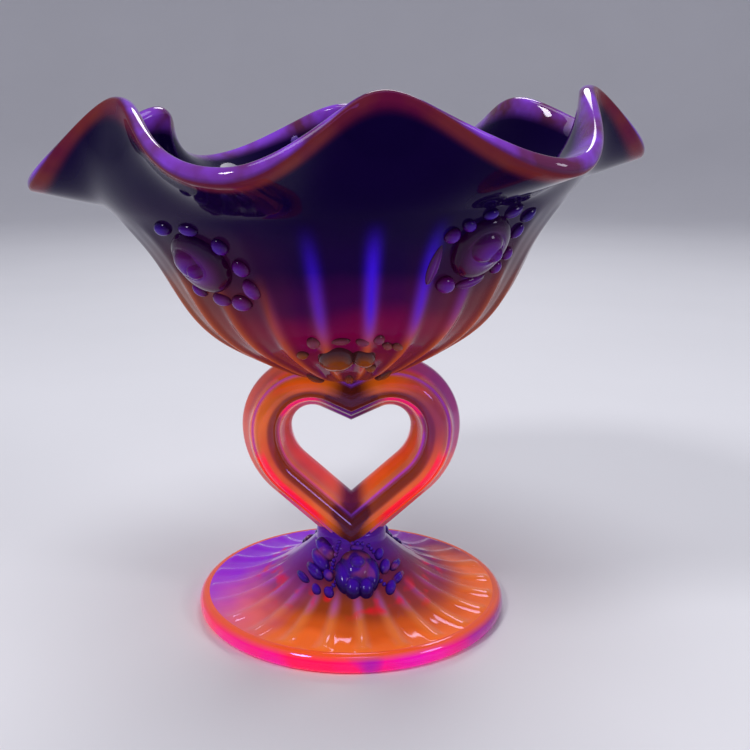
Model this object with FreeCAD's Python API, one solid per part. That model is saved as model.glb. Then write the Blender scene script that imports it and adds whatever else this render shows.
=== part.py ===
"""Footed glass compote: a fluted bowl with a crimped lip, on an open heart stem and a ribbed foot.

Millimetres, +Z up, origin at the centre of the foot's resting plane. The heart lies in the XZ plane and
the front faces -Y. Every moulded feature is its own closed solid in its own file under parts/. Neighbours
meet face to face, because each one is cut by, or drawn on, the surface that it sits on.
"""

import FreeCAD
import Part

import math
import os

V = FreeCAD.Vector

# ---- Foot -------------------------------------------------------------------------------------------
FOOT_RADIUS = 46.5          # outside of the rounded edge
FOOT_BAND_WIDTH = 3.0       # plain band outside the ribs
FOOT_EDGE_HEIGHT = 5.2      # top of the band above the table
FOOT_EDGE_ROUND = 1.3       # how far the resting face stays inside the bulge of the edge
FOOT_BULGE_SHARE = 0.45     # share of the band's height at which it bulges most
FOOT_SEAT_WIDTH = 2.6       # resting ring inside the band
FOOT_GLASS = 5.0            # thickness of the dome
FOOT_TOP_GLASS = 10.0       # from the dome's top down to the hollow
DOME_TOP_RADIUS = 10.5      # where the dome turns into the neck
DOME_TOP_Z = 21.0
DOME_CURVE = 2.2            # power of the dome's rise: 1 is a cone, more is hollower
DOME_SHARES = (0.0, 0.12, 0.28, 0.45, 0.62, 0.78, 0.9, 1.0)
HOLLOW_POINTS = 8           # points taken beside the dome for the hollow's curve
HOLLOW_SEAT_GAP = 2.0       # the curve's first point past the seat is at least this far in
HOLLOW_LOW_GAP = 0.3        # and this far above the table
HOLLOW_TOP_GAP = 0.5        # and its last one this far below the hollow's top
FOOT_RIB_START = 0.02       # shares of the dome's length where the ribs start and end
FOOT_RIB_END = 0.62
FOOT_RIB_HEIGHT = 0.7
FOOT_RIB_ANGLE = 2.6        # degrees of the circle that one rib covers
FOOT_RIB_TURN = 3.0         # degrees that the foot's ribs are turned from the front

# ---- Neck and heart ---------------------------------------------------------------------------------
NECK_HEIGHT = 4.6
NECK_SHOULDER = 2.4         # rounding of the neck's top
HEART_SINK = 10.4           # the bar's outer edges would meet this far below the neck's top
HEART_HALF_WIDTH = 25.0     # axis to the middle of the bar, at the widest point
LOBE_RADIUS = 13.5          # middle of the bar round each lobe
SIDE_RADIUS = 20.0          # middle of the bar below the widest point
CUSP_SLOPE = 25.0           # degrees, the bar's fall from a lobe towards the cusp
POINT_SLOPE = 42.0          # degrees, the straight lower bars above the horizontal
BAR_HALF_WIDTH = 7.35       # at the middle plane
BAR_EDGE_HALF = 1.5         # half the flat on the bar's outer and inner edges
BAR_FACE_HALF_WIDTH = 3.8   # front and back faces of the bar
BAR_HALF_DEPTH = 8.0
MOULDING_HALF_WIDTH = 3.3   # rounded moulding on each face
MOULDING_HEIGHT = 3.0

# ---- Bowl -------------------------------------------------------------------------------------------
BOWL_SINK = 6.85            # the lobes' tops would reach this far above the underside of the bowl
BOWL_DEPTH = 52.5           # underside to the start of the crimped lip
BOWL_RADIUS = 63.5          # outside, at the start of the crimped lip
BOWL_OUTLINE = (            # outside, as shares of BOWL_RADIUS and BOWL_DEPTH
    (0.000, 0.000), (0.205, 0.044), (0.425, 0.181), (0.613, 0.333),
    (0.721, 0.486), (0.795, 0.638), (0.869, 0.790), (1.000, 1.000),
)
BOWL_GLASS = 5.0            # wall thickness
BOWL_LEAN = 2.5             # degrees that the bowl leans towards -X
LEAN_DROP = 8.5             # from the underside of the bowl down to the line about which it leans
INSIDE_POINTS = 12          # points taken beside the outline for the inside of the wall
INSIDE_TOP_GAP = 2.0        # the last of them stays this far below the lip
LEVEL_GLASS_SHARE = 1.18    # glass measured level at the slanting top of the wall, over its thickness
BOWL_RIB_HEIGHT = 1.0
BOWL_RIB_ANGLE = 3.2        # degrees of the circle that one rib covers
RIB_COUNT = 24
RIB_POINTS = 9              # points along a rib's crest
RIB_START = 0.30            # shares of the outline's length where the ribs start and end
RIB_END = 0.90
RIB_GAP = 1.0               # left between a rib and the relief above it

# ---- Crimped lip: six valleys folded out and down, six crests between them --------------------------
LIP_FLARE = 10.8            # mean radius of the edge, beyond the bowl's radius
LIP_MEAN_RISE = 17.5        # mean height of the edge above the end of the bowl wall
LIP_RADIUS_WAVE = 9.2       # valleys reach out, crests draw in
LIP_HEIGHT_WAVE = 8.0
LIP_VALLEY_TURN = 6.0       # degrees from +X to the first valley
LIP_GLASS = 4.4
LIP_BEND_SHARE = 0.5        # share of the rise over which the lip keeps the wall's direction
LIP_ROUND_SHARE = 0.42      # height of the rounded edge over the lip's thickness
LIP_STEPS = 4               # sections between the wall and the edge, on each side
LIP_RING_STEPS = 4          # points from one fold to the next
LIP_NEAR_EDGE = 0.9         # share of the way up that gives the edge its direction
LIP_TOLERANCE = 0.01
LIP_HAND_WORK = (           # degrees, radius and height by which each fold strays, from the first valley
    (-0.5, 1.5, -0.6), (0.2, 4.5, -1.1), (-0.9, -1.2, 2.0), (-7.0, 0.5, -0.3), (-1.2, -0.8, 0.1),
    (-2.2, -4.4, 0.6), (-0.5, 0.6, -1.4), (0.3, -0.1, 2.0), (8.0, -0.8, 1.3), (3.6, -0.9, 0.2),
    (-0.6, 1.9, -0.3), (1.3, 3.7, 0.1),
)

# ---- Relief: roses, beads and leaves ----------------------------------------------------------------
ROSE_RADIUS = 8.8
LEFT_ROSE = (-128.3, 0.845)     # azimuth, and share of the bowl outline's length at the rose's centre
RIGHT_ROSE = (-53.3, 0.860)
UNDER_ROSE_RADIUS = 6.2
UNDER_ROSE_SHARE = 0.44
FOOT_ROSE_RADIUS = 7.6
FOOT_ROSE_DOWN = 7.6        # along the dome, down from its top
FOOT_ROSE_TURN = 6.0        # degrees that the foot's roses are turned from the front and back

# Petals of each kind of rose. Each entry: across, up, half width, half length and height, in rose radii.
ROSE_PETALS = (
    (0.00, 0.00, 0.94, 1.06, 0.50), (-0.10, 0.18, 0.66, 0.68, 0.60), (0.12, 0.06, 0.34, 0.42, 0.68),
)
UNDER_PETALS = ((-0.47, 0.00, 0.79, 1.03, 0.52), (0.70, 0.06, 0.50, 0.74, 0.48))
FOOT_PETALS = (
    (0.00, 0.10, 0.70, 0.84, 0.46), (-0.50, -0.22, 0.40, 0.72, 0.38), (0.50, -0.18, 0.40, 0.72, 0.38),
    (-0.22, -0.66, 0.36, 0.50, 0.40), (0.28, -0.68, 0.34, 0.48, 0.38), (0.02, 0.24, 0.38, 0.44, 0.58),
)

# Each entry: across and up the wall in rose radii, turn in degrees, length, radius.
# Across follows the azimuth.
LEFT_GARLAND = (
    (1.068, 0.614, 0, 0.6, 2.1), (1.318, -0.159, 0, 0.6, 2.2), (1.295, -0.909, 4, 1.6, 2.2),
    (-0.682, 1.216, 80, 1.6, 1.9), (0.341, 1.205, 75, 2.2, 1.6), (0.727, -1.409, 88, 1.2, 2.3),
    (0.045, -1.318, 80, 1.8, 2.0), (-0.773, -1.068, 50, 1.6, 1.7),
)
RIGHT_GARLAND = (
    (-1.239, 0.534, 0, 0.0, 2.1), (-0.818, 0.818, 60, 1.0, 1.6), (-1.386, -0.477, 2, 9.0, 1.7),
    (-0.750, -1.205, 60, 1.4, 2.3), (0.182, -1.227, -78, 6.4, 1.8), (-0.273, 1.159, -78, 1.6, 1.4),
    (0.614, 1.159, -64, 3.0, 1.6), (1.455, 0.932, -50, 2.4, 1.6), (1.318, 0.364, -30, 1.8, 1.5),
    (1.386, -0.455, -20, 0.8, 1.6), (1.091, -0.886, -35, 0.8, 1.6),
)
UNDER_GARLAND = (
    (-1.323, 1.484, 0, 0.0, 1.9), (-1.887, 0.435, 60, 0.6, 1.5), (-0.258, 1.484, 90, 2.8, 1.3),
    (0.677, 1.419, 85, 0.6, 1.6), (1.323, 1.484, 0, 0.0, 1.6), (1.677, 0.935, 40, 0.4, 1.3),
    (2.129, 0.806, 40, 0.4, 1.5), (0.952, -1.419, 0, 0.4, 1.6),
)
FOOT_GARLAND = (
    (-1.289, 0.789, 50, 2.0, 2.9), (-1.500, 0.289, 55, 1.8, 2.7), (-1.789, -0.184, 70, 2.6, 2.3),
    (-1.132, -0.211, 0, 0.4, 1.7), (-1.158, -0.921, 0, 0.4, 1.6), (-1.684, -0.895, 0, 0.4, 1.6),
    (0.079, 1.000, 85, 1.2, 1.5), (1.000, 0.579, -20, 0.4, 1.6), (1.184, 0.026, -10, 0.8, 1.9),
    (1.303, -0.868, -20, 1.0, 1.8), (1.789, -0.079, -80, 2.8, 1.5), (1.763, -0.579, -75, 2.8, 1.6),
    (-2.395, -0.579, 80, 3.0, 1.5),
)
CALYX_ANGLES = (-124, -90, -56, 56, 90, 124)
CALYX_SHARE = 0.205         # share of the bowl outline's length at the leaves' middles
CALYX_LEAF = (6.0, 1.5)     # length and radius

FRONT, BACK = -90.0, 90.0
Z_AXIS = V(0, 0, 1)

# ---- Heights that follow from what sits on what -----------------------------------------------------
NECK_TOP_Z = DOME_TOP_Z + NECK_HEIGHT
POINT_TURN = math.radians(POINT_SLOPE)
SIDE_REACH = SIDE_RADIUS + BAR_HALF_WIDTH
SIDE_END_X = HEART_HALF_WIDTH - SIDE_RADIUS + SIDE_REACH * math.sin(POINT_TURN)
POINT_DROP = SIDE_REACH * math.cos(POINT_TURN) + SIDE_END_X * math.tan(POINT_TURN)
HEART_CENTRE_Z = NECK_TOP_Z - HEART_SINK + POINT_DROP
BOWL_BASE_Z = HEART_CENTRE_Z + LOBE_RADIUS + BAR_HALF_WIDTH - BOWL_SINK
LEAN_PIVOT_Z = BOWL_BASE_Z - LEAN_DROP
LIP_MEAN_RADIUS = BOWL_RADIUS + LIP_FLARE


# ---- Outlines ---------------------------------------------------------------------------------------
class Outline:
    """A curve in the radius and height plane, with places on its surface of revolution."""

    def __init__(self, points, start_tangent=None):
        self.curve = Part.BSplineCurve()
        places = [V(r, 0, z) for r, z in points]
        if start_tangent is None:
            self.curve.interpolate(places)
        else:
            end = (places[-1] - places[-2]).normalize()
            self.curve.interpolate(Points=places, InitialTangent=start_tangent, FinalTangent=end)
        self.length = self.curve.length()

    def at(self, distance):
        """Point, tangent and outward normal, in the XZ plane, at a length along the curve."""
        u = self.curve.parameterAtDistance(distance, self.curve.FirstParameter)
        tangent = V(*self.curve.tangent(u)[0]).normalize()
        return self.curve.value(u), tangent, V(tangent.z, 0, -tangent.x)

    def piece(self, start, end):
        """The part of the curve between two lengths along it."""
        first = self.curve.FirstParameter
        cut = self.curve.copy()
        cut.segment(
            self.curve.parameterAtDistance(start, first),
            self.curve.parameterAtDistance(end, first),
        )
        return cut

    def offset_points(self, distance, count, start=0.0, end=None):
        """Points beside the curve, distance along its outward normal."""
        end = self.length if end is None else end
        found = []
        for i in range(count):
            point, _, normal = self.at(start + (end - start) * i / (count - 1))
            found.append(point + normal * distance)
        return found

    def frame(self, azimuth, along, across=0.0):
        """Placement on the surface: Z outwards, Y up the curve, X round the axis."""
        point, tangent, normal = self.at(along)
        angle = azimuth + math.degrees(across / point.x)
        matrix = FreeCAD.Matrix(
            0, tangent.x, normal.x, point.x,
            1, 0, 0, 0,
            0, tangent.z, normal.z, point.z,
            0, 0, 0, 1,
        )
        turn = FreeCAD.Placement(V(0, 0, 0), FreeCAD.Rotation(Z_AXIS, angle))
        return turn.multiply(FreeCAD.Placement(matrix))


def spline(points):
    curve = Part.BSplineCurve()
    curve.interpolate(points)
    return curve.toShape()


def line(a, b):
    return Part.LineSegment(a, b).toShape()


def revolved(edges, angle=360.0, turn=0.0):
    """The closed outline, turned about Z through angle, centred on the azimuth turn."""
    face = Part.Face(Part.Wire(Part.__sortEdges__(edges)))
    solid = face.revolve(V(0, 0, 0), Z_AXIS, angle)
    solid.rotate(V(0, 0, 0), Z_AXIS, turn - angle / 2)
    return solid


def copies(solid, angles):
    """The solid turned about Z to each angle, as separate solids."""
    found = []
    for angle in angles:
        one = solid.copy()
        one.rotate(V(0, 0, 0), Z_AXIS, angle)
        found.append(one)
    return found


def rib_angles():
    return [360.0 / RIB_COUNT * (i + 0.5) for i in range(RIB_COUNT)]


def rib(outline, start, end, height, angle):
    """A low rib on the outline's surface: the strip beside the curve, turned through a small angle."""
    inner = outline.piece(start, end).toShape()
    outer_points = outline.offset_points(height, RIB_POINTS, start + height, end - height)
    outer = spline(outer_points)
    ends = [
        line(outline.at(start)[0], outer_points[0]),
        line(outline.at(end)[0], outer_points[-1]),
    ]
    return revolved([inner, outer, *ends], angle)


# ---- Foot -------------------------------------------------------------------------------------------
def dome_outline():
    """Top of the foot, from the band up to the neck: a rise by a power of the distance in."""
    edge = FOOT_RADIUS - FOOT_BAND_WIDTH
    run, rise = edge - DOME_TOP_RADIUS, DOME_TOP_Z - FOOT_EDGE_HEIGHT
    return Outline([(edge - run * s, FOOT_EDGE_HEIGHT + rise * s**DOME_CURVE) for s in DOME_SHARES])


def foot_dome(dome):
    """Ribbed part of the foot, hollow underneath, with a flat seat just inside the band."""
    edge = FOOT_RADIUS - FOOT_BAND_WIDTH
    seat = edge - FOOT_SEAT_WIDTH
    under_top = V(0, 0, DOME_TOP_Z - FOOT_TOP_GLASS)
    inside = [V(seat, 0, 0)]
    for point in dome.offset_points(-FOOT_GLASS, HOLLOW_POINTS):
        past_seat = 0 < point.x < seat - HOLLOW_SEAT_GAP
        if past_seat and HOLLOW_LOW_GAP < point.z < under_top.z - HOLLOW_TOP_GAP:
            inside.append(point)
    inside.append(under_top)
    top = V(DOME_TOP_RADIUS, 0, DOME_TOP_Z)
    edges = [
        dome.curve.toShape(),
        line(V(edge, 0, FOOT_EDGE_HEIGHT), V(edge, 0, 0)),
        line(V(edge, 0, 0), V(seat, 0, 0)),
        spline(inside),
        line(under_top, V(0, 0, DOME_TOP_Z)),
        line(V(0, 0, DOME_TOP_Z), top),
    ]
    return revolved(edges)


def foot_rim():
    """Plain rounded band round the foot."""
    edge = FOOT_RADIUS - FOOT_BAND_WIDTH
    base = FOOT_RADIUS - FOOT_EDGE_ROUND
    low, high = V(edge, 0, 0), V(edge, 0, FOOT_EDGE_HEIGHT)
    bulge = V(FOOT_RADIUS, 0, FOOT_EDGE_HEIGHT * FOOT_BULGE_SHARE)
    outside = Part.Arc(V(base, 0, 0), bulge, high).toShape()
    return revolved([line(low, V(base, 0, 0)), outside, line(high, low)])


def foot_ribs(dome):
    start, end = FOOT_RIB_START * dome.length, FOOT_RIB_END * dome.length
    one = rib(dome, start, end, FOOT_RIB_HEIGHT, FOOT_RIB_ANGLE)
    return Part.Compound(copies(one, [a - FOOT_RIB_TURN for a in rib_angles()]))


def stem_neck():
    """Short round neck between the dome and the heart's point."""
    side = V(DOME_TOP_RADIUS, 0, NECK_TOP_Z - NECK_SHOULDER)
    shoulder = V(DOME_TOP_RADIUS - NECK_SHOULDER, 0, NECK_TOP_Z)
    bend = NECK_SHOULDER * (1 - math.sqrt(0.5))
    middle = V(DOME_TOP_RADIUS - bend, 0, NECK_TOP_Z - bend)
    corner = V(DOME_TOP_RADIUS, 0, DOME_TOP_Z)
    edges = [
        line(V(0, 0, DOME_TOP_Z), corner),
        line(corner, side),
        Part.Arc(side, middle, shoulder).toShape(),
        line(shoulder, V(0, 0, NECK_TOP_Z)),
        line(V(0, 0, NECK_TOP_Z), V(0, 0, DOME_TOP_Z)),
    ]
    return revolved(edges)


# ---- Heart ------------------------------------------------------------------------------------------
def on_circle(centre, radius, degrees):
    angle = math.radians(degrees)
    return centre + V(math.cos(angle), 0, math.sin(angle)) * radius


def heart_path():
    """Middle of the bar on the +X side, run a little past the axis at both ends."""
    lobe = V(HEART_HALF_WIDTH - LOBE_RADIUS, 0, HEART_CENTRE_Z)
    side = V(HEART_HALF_WIDTH - SIDE_RADIUS, 0, HEART_CENTRE_Z)
    lobe_start = on_circle(lobe, LOBE_RADIUS, 90 + CUSP_SLOPE)
    widest = on_circle(lobe, LOBE_RADIUS, 0)
    side_end = on_circle(side, SIDE_RADIUS, POINT_SLOPE - 90)
    past = 2 * BAR_HALF_WIDTH
    cusp = math.radians(CUSP_SLOPE)
    start = lobe_start - V(math.cos(cusp), 0, math.sin(cusp)) * (lobe_start.x / math.cos(cusp) + past)
    down = V(math.cos(POINT_TURN), 0, math.sin(POINT_TURN))
    end = side_end - down * (side_end.x / math.cos(POINT_TURN) + past)
    edges = [
        line(start, lobe_start),
        Part.Arc(lobe_start, on_circle(lobe, LOBE_RADIUS, (90 + CUSP_SLOPE) / 2), widest).toShape(),
        Part.Arc(widest, on_circle(side, SIDE_RADIUS, (POINT_SLOPE - 90) / 2), side_end).toShape(),
        line(side_end, end),
    ]
    return Part.Wire(edges), start, cusp


def swept_heart(section):
    """The section, across by depth, carried round both halves of the heart and mitred on the axis."""
    path, start, slope = heart_path()
    across = V(-math.sin(slope), 0, math.cos(slope))
    placed = []
    for edge in section:
        placed.append([start + across * u + V(0, v, 0) for u, v in edge])
    edges = [line(*p) if len(p) == 2 else Part.Arc(*p).toShape() for p in placed]
    pipe = Part.BRepOffsetAPI.MakePipeShell(path)
    pipe.setBiNormalMode(V(0, 1, 0))
    pipe.add(Part.Wire(edges))
    pipe.build()
    pipe.makeSolid()
    reach = 4 * HEART_HALF_WIDTH
    half_space = Part.makeBox(reach, reach, 2 * reach, V(0, -reach / 2, HEART_CENTRE_Z - reach))
    half = pipe.shape().common(half_space)
    return half.fuse(half.mirror(V(0, 0, 0), V(1, 0, 0))).removeSplitter()


def heart_ring():
    """Bar of the heart, widest at its middle plane and bevelled towards both faces."""
    w, f, e, d = BAR_HALF_WIDTH, BAR_FACE_HALF_WIDTH, BAR_EDGE_HALF, BAR_HALF_DEPTH
    corners = [(w, -e), (w, e), (f, d), (-f, d), (-w, e), (-w, -e), (-f, -d), (f, -d)]
    return swept_heart([(a, b) for a, b in zip(corners, corners[1:] + corners[:1])])


def heart_moulding(side):
    """Rounded moulding on one face of the bar. side is -1 at the front and 1 at the back."""
    w, d = MOULDING_HALF_WIDTH, BAR_HALF_DEPTH * side
    crown = (0.0, (BAR_HALF_DEPTH + MOULDING_HEIGHT) * side)
    return swept_heart([((-w, d), crown, (w, d)), ((w, d), (-w, d))])


# ---- Bowl -------------------------------------------------------------------------------------------
def bowl_outline():
    points = [(r * BOWL_RADIUS, BOWL_BASE_Z + z * BOWL_DEPTH) for r, z in BOWL_OUTLINE]
    return Outline(points, start_tangent=V(1, 0, 0))


def wall_inside(wall):
    """Inside of the wall: the outline moved in by the glass, levelled at the lip and on the axis."""
    moved = wall.offset_points(-BOWL_GLASS, INSIDE_POINTS)
    top_z = BOWL_BASE_Z + BOWL_DEPTH
    inside = [p for p in moved[1:-1] if p.z < top_z - INSIDE_TOP_GAP]
    top = V(BOWL_RADIUS - BOWL_GLASS * LEVEL_GLASS_SHARE, 0, top_z)
    return [V(0, 0, BOWL_BASE_Z + BOWL_GLASS), *inside, top]


def bowl_wall(wall):
    inside = wall_inside(wall)
    curve = Part.BSplineCurve()
    end = (inside[-1] - inside[-2]).normalize()
    curve.interpolate(Points=inside, InitialTangent=V(1, 0, 0), FinalTangent=end)
    top = wall.at(wall.length)[0]
    edges = [
        wall.curve.toShape(),
        line(top, inside[-1]),
        curve.toShape(),
        line(inside[0], V(0, 0, BOWL_BASE_Z)),
    ]
    return revolved(edges)


def bowl_filled(wall):
    """Everything inside the bowl's outside, for cutting what sits on it."""
    top = wall.at(wall.length)[0]
    axis_top = V(0, 0, top.z)
    return revolved([wall.curve.toShape(), line(top, axis_top), line(axis_top, V(0, 0, BOWL_BASE_Z))])


def rib_end(wall, angle, roses):
    """Where the rib at this azimuth ends: short of any rose or leaf that it would run under."""
    end = RIB_END * wall.length
    for azimuth, along, entries in roses:
        reach_across = max(l / 2 + r + abs(a) * ROSE_RADIUS for a, _, _, l, r in entries)
        reach_down = max(l / 2 + r - u * ROSE_RADIUS for _, u, _, l, r in entries)
        clear = math.degrees(reach_across / wall.at(along)[0].x) + BOWL_RIB_ANGLE / 2
        if abs((angle - azimuth + 180) % 360 - 180) < clear:
            end = min(end, along - reach_down - RIB_GAP)
    return end


def bowl_ribs(wall, roses):
    """Ribs up the bowl, one solid each."""
    start = RIB_START * wall.length
    angles = {}
    for angle in rib_angles():
        angles.setdefault(rib_end(wall, angle, roses), []).append(angle)
    found = []
    for end, places in angles.items():
        found += copies(rib(wall, start, end, BOWL_RIB_HEIGHT, BOWL_RIB_ANGLE), places)
    return Part.Compound(found)


def lip_edge():
    """The lip's valleys and crests in turn: azimuth, radius and rise above the wall."""
    folds = len(LIP_HAND_WORK)
    found = []
    for i, (turn, radius, rise) in enumerate(LIP_HAND_WORK):
        valley = 1 if i % 2 == 0 else -1
        found.append((
            LIP_VALLEY_TURN + 360.0 / folds * i + turn,
            LIP_MEAN_RADIUS + LIP_RADIUS_WAVE * valley + radius,
            LIP_MEAN_RISE - LIP_HEIGHT_WAVE * valley + rise,
        ))
    return found


def lip_point(share, side, azimuth, radius, rise, wall):
    """A point of the lip: share runs from the wall to the edge. side is 1 outside and -1 inside.

    The lip leaves the wall in the wall's own direction and bends to the edge on a quadratic curve.
    """
    top, tangent, _ = wall.at(wall.length)
    gap = BOWL_GLASS * LEVEL_GLASS_SHARE
    start = V(top.x - gap / 2, 0, top.z)
    edge = V(radius, 0, top.z + rise)
    bend = start + tangent * (LIP_BEND_SHARE * rise)
    a, b, c = (1 - share) ** 2, 2 * share * (1 - share), share**2
    middle = start * a + bend * b + edge * c
    run = ((bend - start) * (1 - share) + (edge - bend) * share).normalize()
    normal = V(run.z, 0, -run.x)
    level = V(1, 0, 0)
    lean = (level * (1 - share) + normal * share).normalize()
    thick = gap * (1 - share) + LIP_GLASS * share
    place = middle + lean * (side * thick / 2)
    angle = math.radians(azimuth)
    return V(place.x * math.cos(angle), place.x * math.sin(angle), place.z)


def lip_rounding(azimuth, radius, rise, wall):
    """Top of the lip's rounded edge."""
    outside = lip_point(1.0, 1, azimuth, radius, rise, wall)
    inside = lip_point(1.0, -1, azimuth, radius, rise, wall)
    before = lip_point(LIP_NEAR_EDGE, 1, azimuth, radius, rise, wall)
    run = (outside - before).normalize()
    return (outside + inside) * 0.5 + run * (LIP_GLASS * LIP_ROUND_SHARE)


def closed_spline(points):
    curve = Part.BSplineCurve()
    curve.interpolate(Points=points, PeriodicFlag=True)
    return Part.Wire(curve.toShape())


def crimped_rim(wall):
    """The flared and crimped lip, lofted up its outside, over its edge and down its inside."""
    folds = lip_edge()
    ring = []
    for i, fold in enumerate(folds):
        after = folds[(i + 1) % len(folds)]
        turn = (after[0] - fold[0]) % 360
        for step in range(LIP_RING_STEPS):
            share = step / LIP_RING_STEPS
            ease = (1 - math.cos(math.pi * share)) / 2
            ring.append((
                fold[0] + turn * share,
                fold[1] + (after[1] - fold[1]) * ease,
                fold[2] + (after[2] - fold[2]) * ease,
            ))
    steps = [i / LIP_STEPS for i in range(LIP_STEPS + 1)]
    sections = [[lip_point(s, 1, *place, wall) for place in ring] for s in steps]
    sections += [[lip_rounding(*place, wall) for place in ring]]
    sections += [[lip_point(s, -1, *place, wall) for place in ring] for s in reversed(steps)]
    skin = Part.makeLoft([closed_spline(s) for s in sections], False, False)
    rings = [closed_spline(sections[0]), closed_spline(sections[-1])]
    seat = Part.makeFace(rings, "Part::FaceMakerBullseye")
    shell = Part.Shell([*skin.Faces, *seat.Faces])
    sewn = shell.copy()
    sewn.sewShape()
    solid = Part.Solid(sewn.Shells[0] if sewn.Shells else sewn)
    solid.fix(LIP_TOLERANCE, LIP_TOLERANCE, LIP_TOLERANCE)
    return solid


# ---- Relief -----------------------------------------------------------------------------------------
def stretched_ball(half_width, half_length, height):
    """An ellipsoid in a local frame, Y along its length and Z outwards."""
    stretch = FreeCAD.Matrix()
    stretch.scale(1, half_length / half_width, height / half_width)
    return Part.makeSphere(half_width).transformGeometry(stretch)


def rose(radius, petals):
    """A rose in a local frame, Z outwards: rounded petals that run into one another."""
    found = []
    for across, up, half_width, half_length, height in petals:
        petal = stretched_ball(half_width * radius, half_length * radius, height * radius)
        petal.translate(V(across, up, 0) * radius)
        found.append(petal)
    return found[0].multiFuse(found[1:])


def lobe(length, radius):
    """A bead, or a leaf lobe of this straight length, lying along Y in a local frame with Z outwards."""
    if length <= 0:
        return Part.makeSphere(radius)
    return stretched_ball(radius, radius + length / 2, radius)


def laid(shape, placement):
    found = shape.copy()
    found.Placement = placement.multiply(found.Placement)
    return found


def garland(outline, along, entries, rose_radius):
    """Beads and leaf lobes round a rose at azimuth 0, one solid each."""
    found = []
    for across, up, turn, length, radius in entries:
        place = outline.frame(0.0, along + up * rose_radius, across * rose_radius)
        spin = FreeCAD.Placement(V(0, 0, 0), FreeCAD.Rotation(Z_AXIS, turn))
        found.append(laid(lobe(length, radius), place.multiply(spin)))
    return found


def trimmed(shapes, cutters):
    """Each shape less the cutters, keeping the largest solid that is left of it."""
    found = []
    for shape in shapes:
        left = shape.cut(cutters)
        found.append(max(left.Solids, key=lambda s: s.Volume))
    return found


def tucked(shapes, cutters):
    """Each shape less the cutters and the shapes before it, so that a leaf lies behind the last one."""
    found = []
    for shape in shapes:
        found += trimmed([shape], [*cutters, *found])
    return found


def leaned(shape):
    """The shape with the bowl's lean towards -X."""
    found = shape.copy()
    found.rotate(V(0, 0, LEAN_PIVOT_Z), V(0, 1, 0), -BOWL_LEAN)
    return found


# ---- The whole dish ---------------------------------------------------------------------------------
def bowl_parts():
    """Nodes of the bowl, upright on the axis."""
    wall = bowl_outline()
    filled = bowl_filled(wall)
    kinds = (
        (*LEFT_ROSE, LEFT_GARLAND, {"front_left": 0.0, "back_right": 180.0}),
        (*RIGHT_ROSE, RIGHT_GARLAND, {"front_right": 0.0, "back_left": 180.0}),
    )
    roses = [
        (azimuth + half_turn, share * wall.length, entries)
        for azimuth, share, entries, names in kinds
        for half_turn in names.values()
    ]
    parts = {
        "bowl_wall": bowl_wall(wall),
        "crimped_rim": crimped_rim(wall),
        "bowl_ribs": bowl_ribs(wall, roses),
    }
    uncut = rose(ROSE_RADIUS, ROSE_PETALS)
    for azimuth, share, entries, names in kinds:
        along = share * wall.length
        bloom = trimmed([laid(uncut, wall.frame(0.0, along))], [filled])[0]
        spray = tucked(garland(wall, along, entries, ROSE_RADIUS), [filled, bloom])
        for name, half_turn in names.items():
            turn = [azimuth + half_turn]
            parts["rose_" + name] = copies(bloom, turn)[0]
            parts["rose_" + name + "_leaves"] = Part.Compound([copies(one, turn)[0] for one in spray])
    low = UNDER_ROSE_SHARE * wall.length
    under = trimmed([laid(rose(UNDER_ROSE_RADIUS, UNDER_PETALS), wall.frame(0.0, low))], [filled])[0]
    under = trimmed([under], copies(parts["bowl_ribs"], [90.0]))[0]
    beads = tucked(garland(wall, low, UNDER_GARLAND, UNDER_ROSE_RADIUS), [filled, under])
    for name, azimuth in (("front", FRONT), ("back", BACK)):
        parts["under_rose_" + name] = copies(under, [azimuth])[0]
        parts["under_rose_" + name + "_leaves"] = Part.Compound(
            trimmed(copies(Part.Compound(beads), [azimuth])[0].Solids, [parts["bowl_ribs"]])
        )
    leaf = laid(lobe(*CALYX_LEAF), wall.frame(0.0, CALYX_SHARE * wall.length))
    leaf = trimmed([leaf], [filled])[0]
    parts["calyx_leaves"] = Part.Compound(copies(leaf, CALYX_ANGLES))
    return parts, filled


def foot_parts():
    """Nodes of the foot and neck."""
    dome = dome_outline()
    parts = {
        "foot_rim": foot_rim(),
        "foot_dome": foot_dome(dome),
        "stem_neck": stem_neck(),
    }
    filled = parts["foot_dome"].fuse(parts["stem_neck"])
    ribs = foot_ribs(dome)
    along = dome.length - FOOT_ROSE_DOWN
    bloom = laid(rose(FOOT_ROSE_RADIUS, FOOT_PETALS), dome.frame(0.0, along))
    bloom = trimmed([bloom], [filled])[0]
    spray = tucked(garland(dome, along, FOOT_GARLAND, FOOT_ROSE_RADIUS), [filled, bloom])
    relief = []
    for name, azimuth in (("front", FRONT + FOOT_ROSE_TURN), ("back", BACK + FOOT_ROSE_TURN)):
        parts["foot_rose_" + name] = copies(bloom, [azimuth])[0]
        leaves = Part.Compound([copies(one, [azimuth])[0] for one in spray])
        parts["foot_rose_" + name + "_leaves"] = leaves
        relief += [parts["foot_rose_" + name], leaves]
    parts["foot_ribs"] = Part.Compound(trimmed(ribs.Solids, relief))
    return parts


def main():
    os.makedirs("parts", exist_ok=True)
    bowl, filled = bowl_parts()
    parts = foot_parts()
    parts.update({name: leaned(shape) for name, shape in bowl.items()})
    cutters = [leaned(filled), parts["stem_neck"], parts["foot_dome"]]
    for name, bar in (
        ("heart_ring", heart_ring()),
        ("heart_front_moulding", heart_moulding(-1)),
        ("heart_back_moulding", heart_moulding(1)),
    ):
        parts[name] = trimmed([bar], cutters)[0]
    for name, shape in sorted(parts.items()):
        shape.exportStep("parts/" + name + ".step")
        solids, volume = len(shape.Solids), shape.Volume
        print(f"{name:32s} solids {solids:3d}  volume {volume:10.1f}  valid {shape.isValid()}")


if __name__ == "__main__":
    main()
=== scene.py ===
import math

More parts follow.
